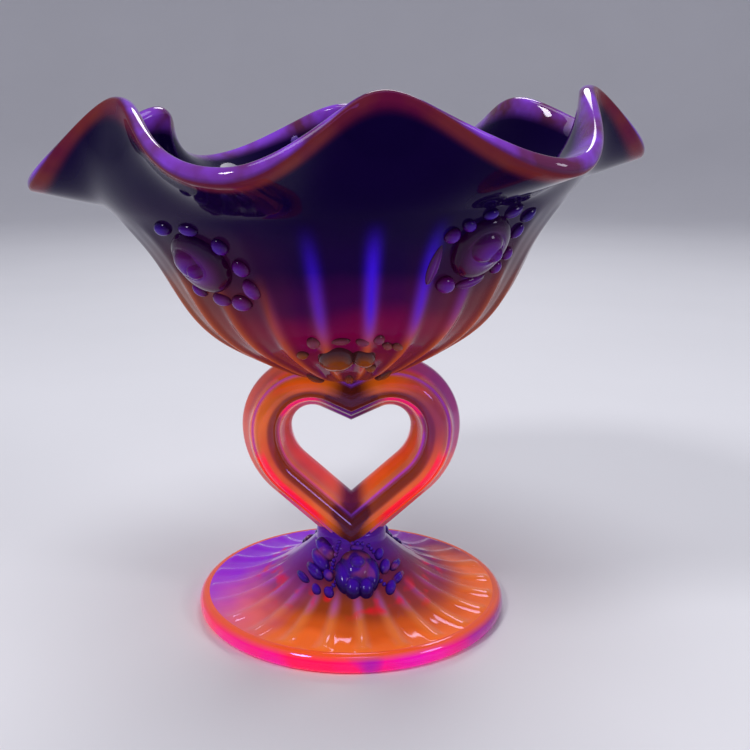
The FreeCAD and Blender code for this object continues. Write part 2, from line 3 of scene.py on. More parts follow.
import bpy
import numpy as np
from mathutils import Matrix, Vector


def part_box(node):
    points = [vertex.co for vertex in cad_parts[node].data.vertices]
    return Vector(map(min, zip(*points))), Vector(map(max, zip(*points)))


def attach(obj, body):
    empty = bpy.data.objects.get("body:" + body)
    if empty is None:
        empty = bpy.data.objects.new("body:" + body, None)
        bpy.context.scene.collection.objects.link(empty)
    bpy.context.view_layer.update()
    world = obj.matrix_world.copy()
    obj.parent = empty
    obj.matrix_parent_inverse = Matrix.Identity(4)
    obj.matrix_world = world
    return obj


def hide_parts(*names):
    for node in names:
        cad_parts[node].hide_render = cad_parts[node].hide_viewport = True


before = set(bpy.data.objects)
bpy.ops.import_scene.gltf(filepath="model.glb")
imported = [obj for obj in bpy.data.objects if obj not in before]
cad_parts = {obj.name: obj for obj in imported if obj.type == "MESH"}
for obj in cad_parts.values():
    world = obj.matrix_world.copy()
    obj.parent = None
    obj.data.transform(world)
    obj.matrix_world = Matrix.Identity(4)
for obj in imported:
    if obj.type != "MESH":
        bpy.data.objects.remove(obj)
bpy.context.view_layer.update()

bl_info = {
    "name": "Heart-stemmed glass dish",
    "version": (1, 0, 0),
    "blender": (4, 5, 0),
    "location": "3D View > Sidebar > Glass dish",
    "description": "Builds the moulded glass of a footed dish round its packed solids, with its studio",
    "category": "Object",
}

MM = 0.001
BODY = "root"

# ---- Sizes of the mould, in millimetres as the solids have them --------------------------------------
RIB_COUNT = 24
FRONT, BACK = -90.0, 90.0
LEFT_ROSE = (-128.3, 0.845)     # azimuth, and share of the wall's length at the rose's centre
RIGHT_ROSE = (-53.3, 0.860)
UNDER_ROSE_SHARE = 0.44
CALYX_SHARE = 0.205
BLUE_REFLECTION_CENTRE = 0.0065          # metres across to the brightest painted blue reflection
UNDER_ROSE_HEIGHT = 0.080       # metres above the table
LIP_HAND_WORK = np.array((      # degrees, radius and height by which each fold strays
    (-0.5, 1.5, -0.6), (0.2, 4.5, -1.1), (-0.9, -1.2, 2.0), (-7.0, 0.5, -0.3), (-1.2, -0.8, 0.1),
    (-2.2, -4.4, 0.6), (-0.5, 0.6, -1.4), (0.3, -0.1, 2.0), (8.0, -0.8, 1.3), (3.6, -0.9, 0.2),
    (-0.6, 1.9, -0.3), (1.3, 3.7, 0.1),
))
BOWL_OUTLINE = np.array((       # outside, as shares of the bowl's radius and depth
    (0.000, 0.000), (0.205, 0.044), (0.425, 0.181), (0.613, 0.333),
    (0.721, 0.486), (0.795, 0.638), (0.869, 0.790), (1.000, 1.000),
))
# Petals of each kind of rose: across, up, half width, half length and height, in rose radii.
ROSE_PETALS = (
    (0.00, 0.00, 0.94, 1.06, 0.50), (-0.10, 0.18, 0.66, 0.68, 0.60), (0.12, 0.06, 0.34, 0.42, 0.68),
)
UNDER_PETALS = ((-0.47, 0.00, 0.79, 1.03, 0.52), (0.70, 0.06, 0.50, 0.74, 0.48))
FOOT_PETALS = (
    (0.00, 0.10, 0.70, 0.84, 0.46), (-0.50, -0.22, 0.40, 0.72, 0.38), (0.50, -0.18, 0.40, 0.72, 0.38),
    (-0.22, -0.66, 0.36, 0.50, 0.40), (0.28, -0.68, 0.34, 0.48, 0.38), (0.02, 0.24, 0.38, 0.44, 0.58),
)
# Beads and leaves: across and up in rose radii, turn in degrees, straight length, radius.
LEFT_GARLAND = (
    (1.068, 0.614, 0, 0.6, 2.1), (1.318, -0.159, 0, 0.6, 2.2), (1.295, -0.909, 4, 1.6, 2.2),
    (-0.682, 1.216, 80, 1.6, 1.9), (0.341, 1.205, 75, 2.2, 1.6), (0.727, -1.409, 88, 1.2, 2.3),
    (0.045, -1.318, 80, 1.8, 2.0), (-0.773, -1.068, 50, 1.6, 1.7),
)
RIGHT_GARLAND = (
    (-1.239, 0.534, 0, 0.0, 2.1), (-0.818, 0.818, 60, 1.0, 1.6), (-1.386, -0.477, 2, 9.0, 1.7),
    (-0.750, -1.205, 60, 1.4, 2.3), (0.182, -1.227, -78, 6.4, 1.8), (-0.273, 1.159, -78, 1.6, 1.4),
    (0.614, 1.159, -64, 3.0, 1.6), (1.455, 0.932, -50, 2.4, 1.6), (1.318, 0.364, -30, 1.8, 1.5),
    (1.386, -0.455, -20, 0.8, 1.6), (1.091, -0.886, -35, 0.8, 1.6),
)
UNDER_GARLAND = (
    (-1.323, 1.484, 0, 0.0, 1.9), (-1.887, 0.435, 60, 0.6, 1.5), (-0.258, 1.484, 90, 2.8, 1.3),
    (0.677, 1.419, 85, 0.6, 1.6), (1.323, 1.484, 0, 0.0, 1.6), (1.677, 0.935, 40, 0.4, 1.3),
    (2.129, 0.806, 40, 0.4, 1.5), (0.952, -1.419, 0, 0.4, 1.6),
)
FOOT_GARLAND = (
    (-1.289, 0.789, 50, 2.0, 2.9), (-1.500, 0.289, 55, 1.8, 2.7), (-1.789, -0.184, 70, 2.6, 2.3),
    (-1.132, -0.211, 0, 0.4, 1.7), (-1.158, -0.921, 0, 0.4, 1.6), (-1.684, -0.895, 0, 0.4, 1.6),
    (0.079, 1.000, 85, 1.2, 1.5), (1.000, 0.579, -20, 0.4, 1.6), (1.184, 0.026, -10, 0.8, 1.9),
    (1.303, -0.868, -20, 1.0, 1.8), (1.789, -0.079, -80, 2.8, 1.5), (1.763, -0.579, -75, 2.8, 1.6),
    (-2.395, -0.579, 80, 3.0, 1.5),
)
# Strings of small beads round the foot's rose: from across, up to across, up in rose radii, and count
FOOT_STRINGS = (
    (-0.62, 1.24, -0.80, 0.66, 5), (-0.88, 0.44, -1.00, -0.06, 4), (0.56, 1.04, 0.96, 0.44, 5),
    (-0.10, 1.22, 0.30, 1.16, 3), (0.80, -0.34, 1.04, -0.66, 3), (-0.84, -0.44, -1.06, -0.74, 3),
)
BEAD = 0.68             # radius, in millimetres
ROSE_SINK = 1.4         # how far a rose goes on into the wall, in millimetres
LEAF_FROM = 2.2         # straight length above which a lobe is drawn to a point, in millimetres
HEART_INTO_BOWL, HEART_INTO_NECK = 1.2, 1.5     # overlaps at the heart's ends, in millimetres
LIP_GAP = 1.18          # level gap across the top of the leaning wall, in thicknesses of its glass
LIP_ROUNDING = 0.35     # how far the lip's edge is rounded, in thicknesses of the lip
LIP_COLUMNS = 480       # points round the bowl
CALYX_ANGLES = (-124, -90, -56, 56, 90, 124)
CALYX_LEAF = (0, 0, 0, 6.0, 1.5)
ROSES = {       # half turn, place and garland
    "front_left": (0.0, LEFT_ROSE, LEFT_GARLAND),
    "front_right": (0.0, RIGHT_ROSE, RIGHT_GARLAND),
    "back_right": (180.0, LEFT_ROSE, LEFT_GARLAND),
    "back_left": (180.0, RIGHT_ROSE, RIGHT_GARLAND),
}


# ---- Settings that a user would change ---------------------------------------------------------------
def length(name, description, default, low=0.0, high=0.5):
    return bpy.props.FloatProperty(
        name=name, description=description, default=default, min=low, max=high,
        unit="LENGTH", subtype="DISTANCE", precision=4,
    )


def angle(name, description, degrees):
    return bpy.props.FloatProperty(
        name=name, description=description, default=math.radians(degrees),
        unit="ROTATION", subtype="ANGLE",
    )


def share(name, description, default, high=1.0):
    return bpy.props.FloatProperty(
        name=name, description=description, default=default, min=0.0, max=high, subtype="FACTOR"
    )


def colour(name, description, hex_value):
    return bpy.props.FloatVectorProperty(
        name=name, description=description, default=linear(hex_value), size=3, min=0.0, max=1.0,
        subtype="COLOR",
    )


def linear(hex_value):
    """Linear red, green and blue of a screen colour such as "C86A14"."""
    found = []
    for i in (0, 2, 4):
        c = int(hex_value[i:i + 2], 16) / 255
        found.append(c / 12.92 if c <= 0.04045 else ((c + 0.055) / 1.055) ** 2.4)
    return tuple(found)


def tint(value):
    """Linear colour of a hex string or a colour setting."""
    return linear(value) if isinstance(value, str) else tuple(value)


class DishFootSettings(bpy.types.PropertyGroup):
    radius: length("Foot radius", "Outside of the foot's rounded edge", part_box("foot_rim")[1][0])
    band_width: length("Band width", "Plain band outside the ribs", 0.003)
    edge_height: length("Edge height", "Top of the band above the table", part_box("foot_rim")[1][2])
    dome_height: length("Dome height", "Top of the foot's dome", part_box("foot_dome")[1][2])
    neck_radius: length("Neck radius", "Radius of the round neck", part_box("stem_neck")[1][0])
    neck_top: length("Neck top", "Height of the neck's top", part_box("stem_neck")[1][2])
    glass: length("Foot glass", "Thickness of the dome's glass", 0.005)
    rib_height: length("Rib height", "How far the foot's ribs stand out", 0.0007)
    rib_turn: angle("Rib turn", "How far the ribs are turned from the front", 3.0)
    rose_radius: length("Rose radius", "Radius of the foot's roses", 0.0076)
    rose_down: length("Rose drop", "Down the dome from its top to a rose's centre", 0.0076)
    rose_turn: angle("Rose turn", "How far the roses are turned from the front and back", 6.0)


class DishHeartSettings(bpy.types.PropertyGroup):
    centre_height: length("Heart height", "Height of the heart's widest point", 0.0565)
    half_width: length("Half width", "Axis to the middle of the bar", 0.025)
    lobe_radius: length("Lobe radius", "Middle of the bar round each lobe", 0.0135)
    side_radius: length("Side radius", "Middle of the bar below the widest point", 0.020)
    cusp_slope: angle("Cusp slope", "Fall of the bar from a lobe towards the cusp", 25.0)
    point_slope: angle("Point slope", "Slope of the straight lower bars", 42.0)
    bar_half: length("Bar half width", "Half the bar's width at the middle plane", 0.00735)
    bar_depth: length("Bar half depth", "Middle plane to the face of the bar", 0.008)
    moulding_half: length("Moulding half width", "Half the width of the rounded moulding", 0.0033)
    moulding_height: length("Moulding height", "How far the moulding stands off the bar", 0.003)


class DishBowlSettings(bpy.types.PropertyGroup):
    base_height: length("Bowl base", "Underside of the bowl on its own axis", 0.0705)
    depth: length("Bowl depth", "Underside of the bowl to the start of the lip", 0.0525)
    radius: length("Bowl radius", "Outside, at the start of the lip", 0.0635)
    glass: length("Bowl glass", "Thickness of the wall", 0.005)
    lean: angle("Lean", "How far the bowl leans towards the left", 2.5)
    lean_height: length("Lean height", "Height about which the bowl leans", 0.062)
    rib_height: length("Rib height", "How far the flutes' ridges stand out", 0.0010)
    lip_radius: length("Lip radius", "Mean radius of the lip's edge", 0.0743)
    lip_rise: length("Lip rise", "Mean height of the edge above the wall", 0.0175)
    lip_radius_wave: length("Lip wave out", "How far the valleys reach out", 0.0092)
    lip_height_wave: length("Lip wave up", "How far the crests rise", 0.0080)
    lip_turn: angle("First valley", "Azimuth of the first valley", 6.0)
    lip_glass: length("Lip glass", "Thickness of the lip", 0.0044)
    rose_radius: length("Rose radius", "Radius of the bowl's roses", 0.0088)
    under_rose_radius: length("Small rose radius", "Radius of the roses under the bowl", 0.0062)


class DishColourSettings(bpy.types.PropertyGroup):
    amber: colour("Amber", "Clear orange of the stem", "DA6C14")
    dark_amber: colour("Dark amber", "Shaded orange of the stem", "AC4614")
    stem_red: colour("Red light", "Red light in the stem's thick parts", "FF1038")
    # Painted mauve reflection on the stem's bevels
    mauve: colour("Mauve", "Outer bevels of the stem", "7A2A86")
    # Painted highlight lines along the stem's steps
    edge_line: colour("Edge line", "Bright lines along the stem's steps", "8A3CE8")
    foot_orange: colour("Foot orange", "Edge of the foot's dome", "E8702C")
    # Painted violet reflection over the foot's left and back
    foot_violet: colour("Foot violet", "Left and back of the foot", "8A1CD8")
    rim_pink: colour("Rim pink", "Light gathered by the foot's edge", "FF0A5A")
    rim_magenta: colour("Rim magenta", "Second colour of the foot's edge", "E800C0")
    indigo: colour("Indigo", "Blue-black of the bowl's upper wall", "0A0226")
    # Painted amber highlight on the lower ridges
    amber_ridge: colour("Amber ridge", "Lower ends of the bowl's ridges", "B4501E")
    # Painted blue reflection on the upper front ridges
    blue_streak: colour("Blue streak", "Upper ends of the front ridges", "3A12D8")
    # Painted violet reflection on top of the lip
    lip_violet: colour("Lip violet", "Top of the lip", "7E3CC8")
    lip_wine: colour("Lip wine", "Outside of the lip's edge", "5A1030")
    lip_brown: colour("Lip brown", "Second colour outside the lip's edge", "6E2A22")
    # Painted violet highlight on the relief's crowns
    crown_violet: colour("Crown violet", "Crowns of the roses and leaves", "4A14D8")
    reflection: colour("Reflection", "Tint of the glass's reflections seen face on", "8C50FF")
    floor: colour("Floor", "Plain pale floor", "E6E6EC")
    # Strength of the painted glow that the glass materials emit
    glow: share("Glow", "Strength of the glass's own glow", 0.45, 4.0)


class DishSettings(bpy.types.PropertyGroup):
    foot: bpy.props.PointerProperty(type=DishFootSettings, name="Foot", description="Foot and neck")
    heart: bpy.props.PointerProperty(type=DishHeartSettings, name="Heart", description="Heart stem")
    bowl: bpy.props.PointerProperty(type=DishBowlSettings, name="Bowl", description="Bowl and lip")
    colours: bpy.props.PointerProperty(
        type=DishColourSettings, name="Colours", description="Glass colours"
    )


def settings():
    return bpy.context.scene.glass_dish


# ---- Numpy surfaces ----------------------------------------------------------------------------------
def smooth_curve(points, count, start_slope=None):
    """Cubic spline through the points, at even steps of chord length.

    Between two points the curve is the cubic whose second derivative runs straight from one to the
    other; the second derivatives come from one linear system that makes the slopes meet.
    """
    p = np.asarray(points, float)
    t = np.concatenate([[0.0], np.cumsum(np.linalg.norm(np.diff(p, axis=0), axis=1))])
    h = np.diff(t)
    slope = np.diff(p, axis=0) / h[:, None]
    n = len(p)
    system, right = np.zeros((n, n)), np.zeros(p.shape)
    i = np.arange(1, n - 1)
    system[i, i - 1], system[i, i], system[i, i + 1] = h[:-1], 2 * (h[:-1] + h[1:]), h[1:]
    right[i] = 6 * np.diff(slope, axis=0)
    system[0, 0] = system[-1, -1] = 1.0
    if start_slope is not None:
        system[0, :2] = 2 * h[0], h[0]
        right[0] = 6 * (slope[0] - np.asarray(start_slope))
    second = np.linalg.solve(system, right)
    u = np.linspace(0.0, t[-1], count)
    k = np.clip(np.searchsorted(t, u, side="right") - 1, 0, n - 2)
    after, before, step = (u - t[k])[:, None], (t[k + 1] - u)[:, None], h[k][:, None]
    bend = (second[k] * before**3 + second[k + 1] * after**3) / (6 * step)
    low = (p[k] / step - second[k] * step / 6) * before
    high = (p[k + 1] / step - second[k + 1] * step / 6) * after
    return bend + low + high


def bump(x, low, high, soft):
    """1 between low and high, easing to 0 over soft on both sides: the product of two smooth steps."""
    return smooth_step(x, low - soft, low) * (1 - smooth_step(x, high, high + soft))


def smooth_step(x, low, high):
    """0 below low, 1 above high, and between them three squares of the way less two of its cubes."""
    t = np.clip((np.asarray(x, float) - low) / (high - low), 0.0, 1.0)
    return t * t * (3 - 2 * t)


def ring_quads(rows, columns, closed=False):
    """Quads between neighbouring rings of points; closed joins the last ring to the first too."""
    row = np.arange(rows if closed else rows - 1)[:, None]
    column = np.arange(columns)[None]
    here, above = row * columns, (row + 1) % rows * columns
    beside = (column + 1) % columns
    corners = (here + column, here + beside, above + beside, above + column)
    return np.stack(np.broadcast_arrays(*corners), -1).reshape(-1, 4)


def looped_mesh(grid):
    """Vertices, quads and no triangles of rings that also join end to end."""
    return grid.reshape(-1, 3), ring_quads(*grid.shape[:2], closed=True), np.zeros((0, 3), int)


def rings_to_mesh(grid, start_pole, end_pole=None):
    """Vertices, quads and triangles of rings of points, each ring closed on itself.

    A pole closes an end with a fan of triangles; the last end is left open where no pole is given.
    """
    rows, columns = grid.shape[:2]
    column = np.arange(columns)
    beside = (column + 1) % columns
    pole = np.full(columns, rows * columns)
    vertices = [grid.reshape(-1, 3), np.asarray(start_pole, float)[None]]
    fans = [np.stack([beside, column, pole], -1)]
    if end_pole is not None:
        vertices.append(np.asarray(end_pole, float)[None])
        last = (rows - 1) * columns
        fans.append(np.stack([last + column, last + beside, pole + 1], -1))
    return np.concatenate(vertices), ring_quads(rows, columns), np.concatenate(fans)


def signed_volume(vertices, quads, triangles):
    """Sum over the triangles of the product of their three corners, over 6."""
    corners = np.concatenate([triangles, quads[:, [0, 1, 2]], quads[:, [0, 2, 3]]])
    a, b, c = (vertices[corners[:, k]] for k in range(3))
    return float(np.einsum("ij,ij->", a, np.cross(b, c))) / 6


def make_piece(name, parts, maker, replaces, attributes, crease):
    """One object in metres from closed parts of (vertices in millimetres, quads, triangles).

    Faces are turned outwards; attributes maps a name to one value per vertex, for the material to read.
    """
    vertices, quads, triangles, count = [], [], [], 0
    for points, fours, threes in parts:
        way = -1 if signed_volume(points, fours, threes) < 0 else 1
        vertices.append(points)
        quads.append(fours[:, ::way] + count)
        triangles.append(threes[:, ::way] + count)
        count += len(points)
    faces = np.concatenate(quads).tolist() + np.concatenate(triangles).tolist()
    mesh = bpy.data.meshes.new(name)
    mesh.from_pydata((np.concatenate(vertices) * MM).tolist(), [], faces)
    for key, values in attributes.items():
        layer = mesh.attributes.new(key, "FLOAT", "POINT")
        layer.data.foreach_set("value", np.asarray(values, np.float32))
    mesh.shade_smooth()
    mesh.set_sharp_from_angle(angle=math.radians(crease))
    mesh.materials.append(bpy.data.materials.get(maker.__name__) or maker())
    piece = bpy.data.objects.new(name, mesh)
    bpy.context.scene.collection.objects.link(piece)
    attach(piece, BODY)
    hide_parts(*replaces)


# ---- Outlines shared by the glass and its relief -----------------------------------------------------
class Wall:
    """A curve of radius and height whose surface of revolution carries relief."""

    def __init__(self, points, lean=0.0, lean_height=0.0):
        self.points = points
        steps = np.linalg.norm(np.diff(points, axis=0), axis=1)
        self.run = np.concatenate([[0.0], np.cumsum(steps)])
        slope = np.gradient(points, self.run, axis=0)
        slope /= np.linalg.norm(slope, axis=1)[:, None]
        self.normal = np.stack([slope[:, 1], -slope[:, 0]], -1)
        self.length = self.run[-1]
        self.lean, self.lean_height = lean, lean_height

    def at(self, along):
        """Radius, height and the outward normal's two parts at a length along the curve."""
        columns = (self.points[:, 0], self.points[:, 1], self.normal[:, 0], self.normal[:, 1])
        return [np.interp(along, self.run, values) for values in columns]

    def place(self, azimuth, along, across, out):
        """Points across and along the wall from a place on it, and out along its normal.

        The radius and height are the curve's, moved by out along the normal; the azimuth grows by
        across over the radius. Then the lean turns every point about the Y axis.
        """
        radius, height, normal_r, normal_z = self.at(along)
        turn = math.radians(azimuth) + across / np.maximum(radius, 1.0)
        distance = radius + out * normal_r
        return self.leaned(np.stack(
            [distance * np.cos(turn), distance * np.sin(turn), height + out * normal_z + 0 * turn], -1
        ))

    def leaned(self, points):
        """Points turned about the Y axis through the lean's height, towards -X."""
        cosine, sine = math.cos(self.lean), math.sin(self.lean)
        x, y, z = points[..., 0], points[..., 1], points[..., 2] - self.lean_height
        return np.stack([x * cosine - z * sine, y, x * sine + z * cosine + self.lean_height], -1)

    def upright(self, points):
        """Leaned points turned back upright."""
        cosine, sine = math.cos(self.lean), math.sin(self.lean)
        x, y, z = points[..., 0], points[..., 1], points[..., 2] - self.lean_height
        return np.stack([x * cosine + z * sine, y, z * cosine - x * sine + self.lean_height], -1)


def bowl_wall():
    """Outside of the bowl, from the axis to the start of the lip."""
    bowl = settings().bowl
    scale = np.array((bowl.radius, bowl.depth)) / MM
    points = BOWL_OUTLINE * scale + (0, bowl.base_height / MM)
    curve = smooth_curve(points, 240, start_slope=(1.0, 0.0))
    return Wall(curve, bowl.lean, bowl.lean_height / MM)


def foot_wall():
    """Top of the foot, from the band up to the neck: height rises by a power of the way in."""
    foot = settings().foot
    edge = (foot.radius - foot.band_width) / MM
    s = np.linspace(0.0, 1.0, 160)
    radius = edge - (edge - foot.neck_radius / MM) * s
    height = (foot.edge_height + (foot.dome_height - foot.edge_height) * s**2.2) / MM
    return Wall(np.stack([radius, height], -1))


def foot_relief_wall():
    """Top of the foot, run on a little way up the neck, and the length at which the neck starts."""
    foot = settings().foot
    dome = foot_wall()
    rise = foot.dome_height / MM + np.arange(1, 13) * 0.2
    neck = np.stack([np.full(12, foot.neck_radius / MM), rise], -1)
    return Wall(np.concatenate([dome.points, neck])), dome.length


def turns(count):
    """A row of even steps round the circle, in radians."""
    return np.arange(count)[None] * 2 * math.pi / count


def rib_wave(azimuth, turn, sharpness):
    """Ridges round the axis: half of one plus a cosine with a wave for each rib, raised to a power."""
    wave = np.cos(RIB_COUNT * (azimuth - turn) - math.pi)
    return ((1 + wave) / 2) ** sharpness


# ---- Materials ---------------------------------------------------------------------------------------
class Nodes:
    """Short calls for adding and joining the nodes of one material."""

    def __init__(self, name):
        self.material = bpy.data.materials.new(name)
        self.material.use_nodes = True
        self.tree = self.material.node_tree
        self.shader = self.tree.nodes["Principled BSDF"]
        self.place = self.add("ShaderNodeTexCoord").outputs["Object"]

    def add(self, kind, **values):
        node = self.tree.nodes.new(kind)
        for key, value in values.items():
            setattr(node, key, value)
        return node

    def join(self, source, target):
        self.tree.links.new(source, target)

    def axis(self, index):
        """One coordinate of the place on the object, in metres."""
        split = self.add("ShaderNodeSeparateXYZ")
        self.join(self.place, split.inputs[0])
        return split.outputs[index]

    def attribute(self, name):
        return self.add("ShaderNodeAttribute", attribute_name=name).outputs["Fac"]

    def noise(self, scale, detail=3.0, roughness=0.5, stretch=(1, 1, 1)):
        """Noise on the object's own coordinates, stretched along its axes."""
        mapping = self.add("ShaderNodeMapping")
        mapping.inputs["Scale"].default_value = stretch
        self.join(self.place, mapping.inputs["Vector"])
        node = self.add("ShaderNodeTexNoise")
        node.inputs["Scale"].default_value = scale
        node.inputs["Detail"].default_value = detail
        node.inputs["Roughness"].default_value = roughness
        self.join(mapping.outputs["Vector"], node.inputs["Vector"])
        return node.outputs["Fac"]

    def maths(self, operation, a, b):
        node = self.add("ShaderNodeMath", operation=operation)
        for socket, value in zip(node.inputs, (a, b)):
            if isinstance(value, (int, float)):
                socket.default_value = value
            else:
                self.join(value, socket)
        return node.outputs[0]

    def times(self, a, b):
        return self.maths("MULTIPLY", a, b)

    def plus(self, a, b):
        return self.maths("ADD", a, b)

    def apart(self, value, centre):
        """Distance of a value from a centre."""
        return self.maths("ABSOLUTE", self.maths("SUBTRACT", value, centre), 0.0)

    def drift(self, scale, reach):
        """Noise from -reach / 2 to reach / 2."""
        return self.times(self.maths("SUBTRACT", self.noise(scale), 0.5), reach)

    def spread(self, value, low, high, to_low=0.0, to_high=1.0):
        """The value's range from low to high, mapped and held within the new range."""
        node = self.add("ShaderNodeMapRange", clamp=True)
        sockets = ("From Min", "From Max", "To Min", "To Max")
        for key, number in zip(sockets, (low, high, to_low, to_high)):
            node.inputs[key].default_value = number
        self.join(value, node.inputs["Value"])
        return node.outputs["Result"]

    def ramp(self, factor, stops):
        """Colour by position along a ramp; stops are (position, colour as in mix)."""
        node = self.add("ShaderNodeValToRGB")
        node.color_ramp.interpolation = "EASE"
        elements = node.color_ramp.elements
        while len(elements) < len(stops):
            elements.new(0.5)
        for element, (position, value) in zip(elements, stops):
            element.position = position
            element.color = (*tint(value), 1.0)
        self.join(factor, node.inputs["Fac"])
        return node.outputs["Color"]

    def mix(self, factor, a, b, weight=1.0):
        """a where factor times weight is 0, b where it is 1; colours are hex strings or settings."""
        if weight != 1.0:
            factor = self.times(factor, weight)
        node = self.add("ShaderNodeMix", data_type="RGBA")
        self.join(factor, node.inputs["Factor"])
        for socket, value in ((node.inputs[6], a), (node.inputs[7], b)):
            if isinstance(value, bpy.types.NodeSocket):
                self.join(value, socket)
            else:
                socket.default_value = (*tint(value), 1.0)
        return node.outputs[2]

    def ripples(self, scale, strength, distance=0.0004):
        """Slow waves of pressed glass with a little finer grain, as a bump."""
        slow = self.noise(scale, 2.0)
        fine = self.noise(scale * 9, 2.0)
        node = self.add("ShaderNodeBump")
        node.inputs["Strength"].default_value = strength
        node.inputs["Distance"].default_value = distance
        self.join(self.plus(slow, self.times(fine, 0.06)), node.inputs["Height"])
        self.join(node.outputs["Normal"], self.shader.inputs["Normal"])

    def finish(self, body, glow, ripples, transmission=0.0, coat=0.0, specular=0.5):
        """The shader's own sockets for thick coloured glass that gives a little light of its own, a
        painted glow.
        """
        inputs = self.shader.inputs
        inputs["IOR"].default_value = 1.5
        inputs["Specular IOR Level"].default_value = specular
        inputs["Specular Tint"].default_value = (*settings().colours.reflection, 1.0)
        inputs["Coat Weight"].default_value = coat
        inputs["Coat Roughness"].default_value = 0.03
        inputs["Transmission Weight"].default_value = transmission
        # Emission in the body's colour: a painted glow standing in for light passing through the glass
        inputs["Emission Strength"].default_value = glow * settings().colours.glow
        streaks = self.noise(70, 3.0, 0.6, (1, 1, 0.3))
        self.join(self.spread(streaks, 0.3, 0.8, 0.03, 0.114), inputs["Roughness"])
        self.join(body, inputs["Base Color"])
        self.join(body, inputs["Emission Color"])
        self.ripples(*ripples)
        return self.material


def bowl_glass():
    """Indigo above, wine and then amber towards the stem, with painted amber highlights and blue
    reflections along the ridges.
    """
    c = settings().colours
    n = Nodes("bowl_glass")
    height = n.plus(n.axis(2), n.drift(24, 0.020))
    # Painted light: warmer, lighter amber and wine towards the left and right sides as seen from the
    # front
    side = n.spread(n.apart(n.axis(0), 0.0), 0.012, 0.045)
    low = n.ramp(n.spread(height, 0.070, 0.125), (
        (0.0, "5A1C20"), (0.22, "5E1230"), (0.42, "6A0238"), (0.56, "34043A"), (0.70, "140230"),
        (1.0, c.indigo),
    ))
    low_side = n.ramp(n.spread(height, 0.070, 0.130), (
        (0.0, "6A2C08"), (0.30, "7A3A10"), (0.50, "6A2C12"), (0.66, "3A1022"), (0.82, "16042A"),
        (1.0, c.indigo),
    ))
    body = n.mix(side, low, low_side)
    # Painted highlights in amber along the lower ridges
    ridge = n.times(n.attribute("crest"), n.spread(height, 0.108, 0.088))
    body = n.mix(ridge, body, c.amber_ridge, 0.75)
    # Painted blue reflections on the crests, strongest a little right of the front
    streak = n.times(n.attribute("crest"), n.attribute("upper"))
    streak = n.times(streak, n.spread(n.apart(n.axis(0), BLUE_REFLECTION_CENTRE), 0.027, 0.006))
    body = n.mix(streak, body, c.blue_streak, 0.85)
    band = n.mix(n.spread(n.noise(60), 0.35, 0.65), c.lip_wine, c.lip_brown)
    body = n.mix(n.maths("POWER", n.attribute("lip_side"), 1.5), body, band, 0.8)
    # Painted violet reflection on the lip's top, mottled with darker plum
    top = n.mix(n.spread(n.noise(75), 0.38, 0.62), c.lip_violet, "5C2448")
    body = n.mix(n.attribute("lip_top"), body, top, 0.9)
    n.join(n.times(n.attribute("lip_top"), 0.7), n.shader.inputs["Coat Weight"])
    return n.finish(body, 0.8, (45, 0.3), transmission=0.03, specular=0.07)


def heart_glass():
    """Clear orange with a painted red glow in the thick parts and painted mauve reflections on the
    outer bevels.
    """
    c = settings().colours
    n = Nodes("heart_glass")
    body = n.mix(n.spread(n.noise(38, 3.0, 0.55), 0.35, 0.68), c.amber, c.dark_amber)
    # Painted shade in dark brown: the moulding's inner half, and at the cusp and the point
    body = n.mix(n.attribute("dark"), body, "4A1810")
    # Painted violet reflection on the heart's upper right
    turned = n.times(n.spread(n.axis(0), 0.012, 0.024), n.spread(n.axis(2), 0.046, 0.060))
    body = n.mix(turned, body, "6A1A5A", 0.6)
    # Painted mauve reflections on the bevels
    body = n.mix(n.attribute("mauve"), body, c.mauve, 0.6)
    # Painted red glow
    body = n.mix(n.attribute("red"), body, c.stem_red, 0.95)
    # Painted highlight lines along the steps
    body = n.mix(n.attribute("line"), body, c.edge_line)
    return n.finish(body, 0.9, (50, 0.3), transmission=0.35, coat=0.3)


def foot_glass():
    """Orange at the front, painted violet reflection left and back, painted wine shade round the neck,
    a few red spots.
    """
    c = settings().colours
    n = Nodes("foot_glass")
    x, y, z = n.axis(0), n.axis(1), n.axis(2)
    cloud = n.drift(26, 0.05)
    body = n.ramp(n.spread(n.plus(z, n.times(cloud, 0.1)), 0.0052, 0.024), (
        (0.0, c.foot_orange), (0.06, "C85A1E"), (0.20, "8A3C1A"), (0.50, "5A1C3C"), (0.75, "481A78"),
        (1.0, "3C1090"),
    ))
    ridge = n.attribute("ridge")
    # Painted highlights along the ribs: orange low on the dome, violet higher up
    body = n.mix(n.times(ridge, n.spread(z, 0.016, 0.007)), body, "E88A4A", 0.55)
    body = n.mix(n.times(ridge, n.spread(z, 0.0078, 0.0100)), body, "8A34D8", 0.5)
    # Painted shade in darker wine: towards the neck and the back, on the right, and most at the back
    # right
    wine = n.spread(n.plus(n.plus(n.times(z, 1.5), y), cloud), 0.012, 0.040)
    body = n.mix(wine, body, "4A1468", 0.75)
    right = n.times(n.spread(n.plus(x, cloud), 0.008, 0.034), n.spread(z, 0.0062, 0.0092))
    body = n.mix(right, body, "7A2048", 0.65)
    back_right = n.spread(n.plus(n.plus(x, y), cloud), 0.014, 0.034)
    body = n.mix(n.times(back_right, n.spread(z, 0.0062, 0.0100)), body, "3A106A", 0.85)
    # Painted violet reflection over the left and back
    side = n.plus(n.times(x, -0.80), n.times(y, 0.62))
    body = n.mix(n.spread(n.plus(side, cloud), -0.004, 0.032), body, c.foot_violet, 0.85)
    spots = n.times(n.spread(n.noise(210, 1.0), 0.55, 0.75), n.spread(z, 0.0072, 0.0088))
    body = n.mix(n.times(spots, n.spread(z, 0.0130, 0.0105)), body, "D8142C", 0.8)
    return n.finish(body, 0.8, (50, 0.3), transmission=0.2, coat=0.2, specular=0.3)


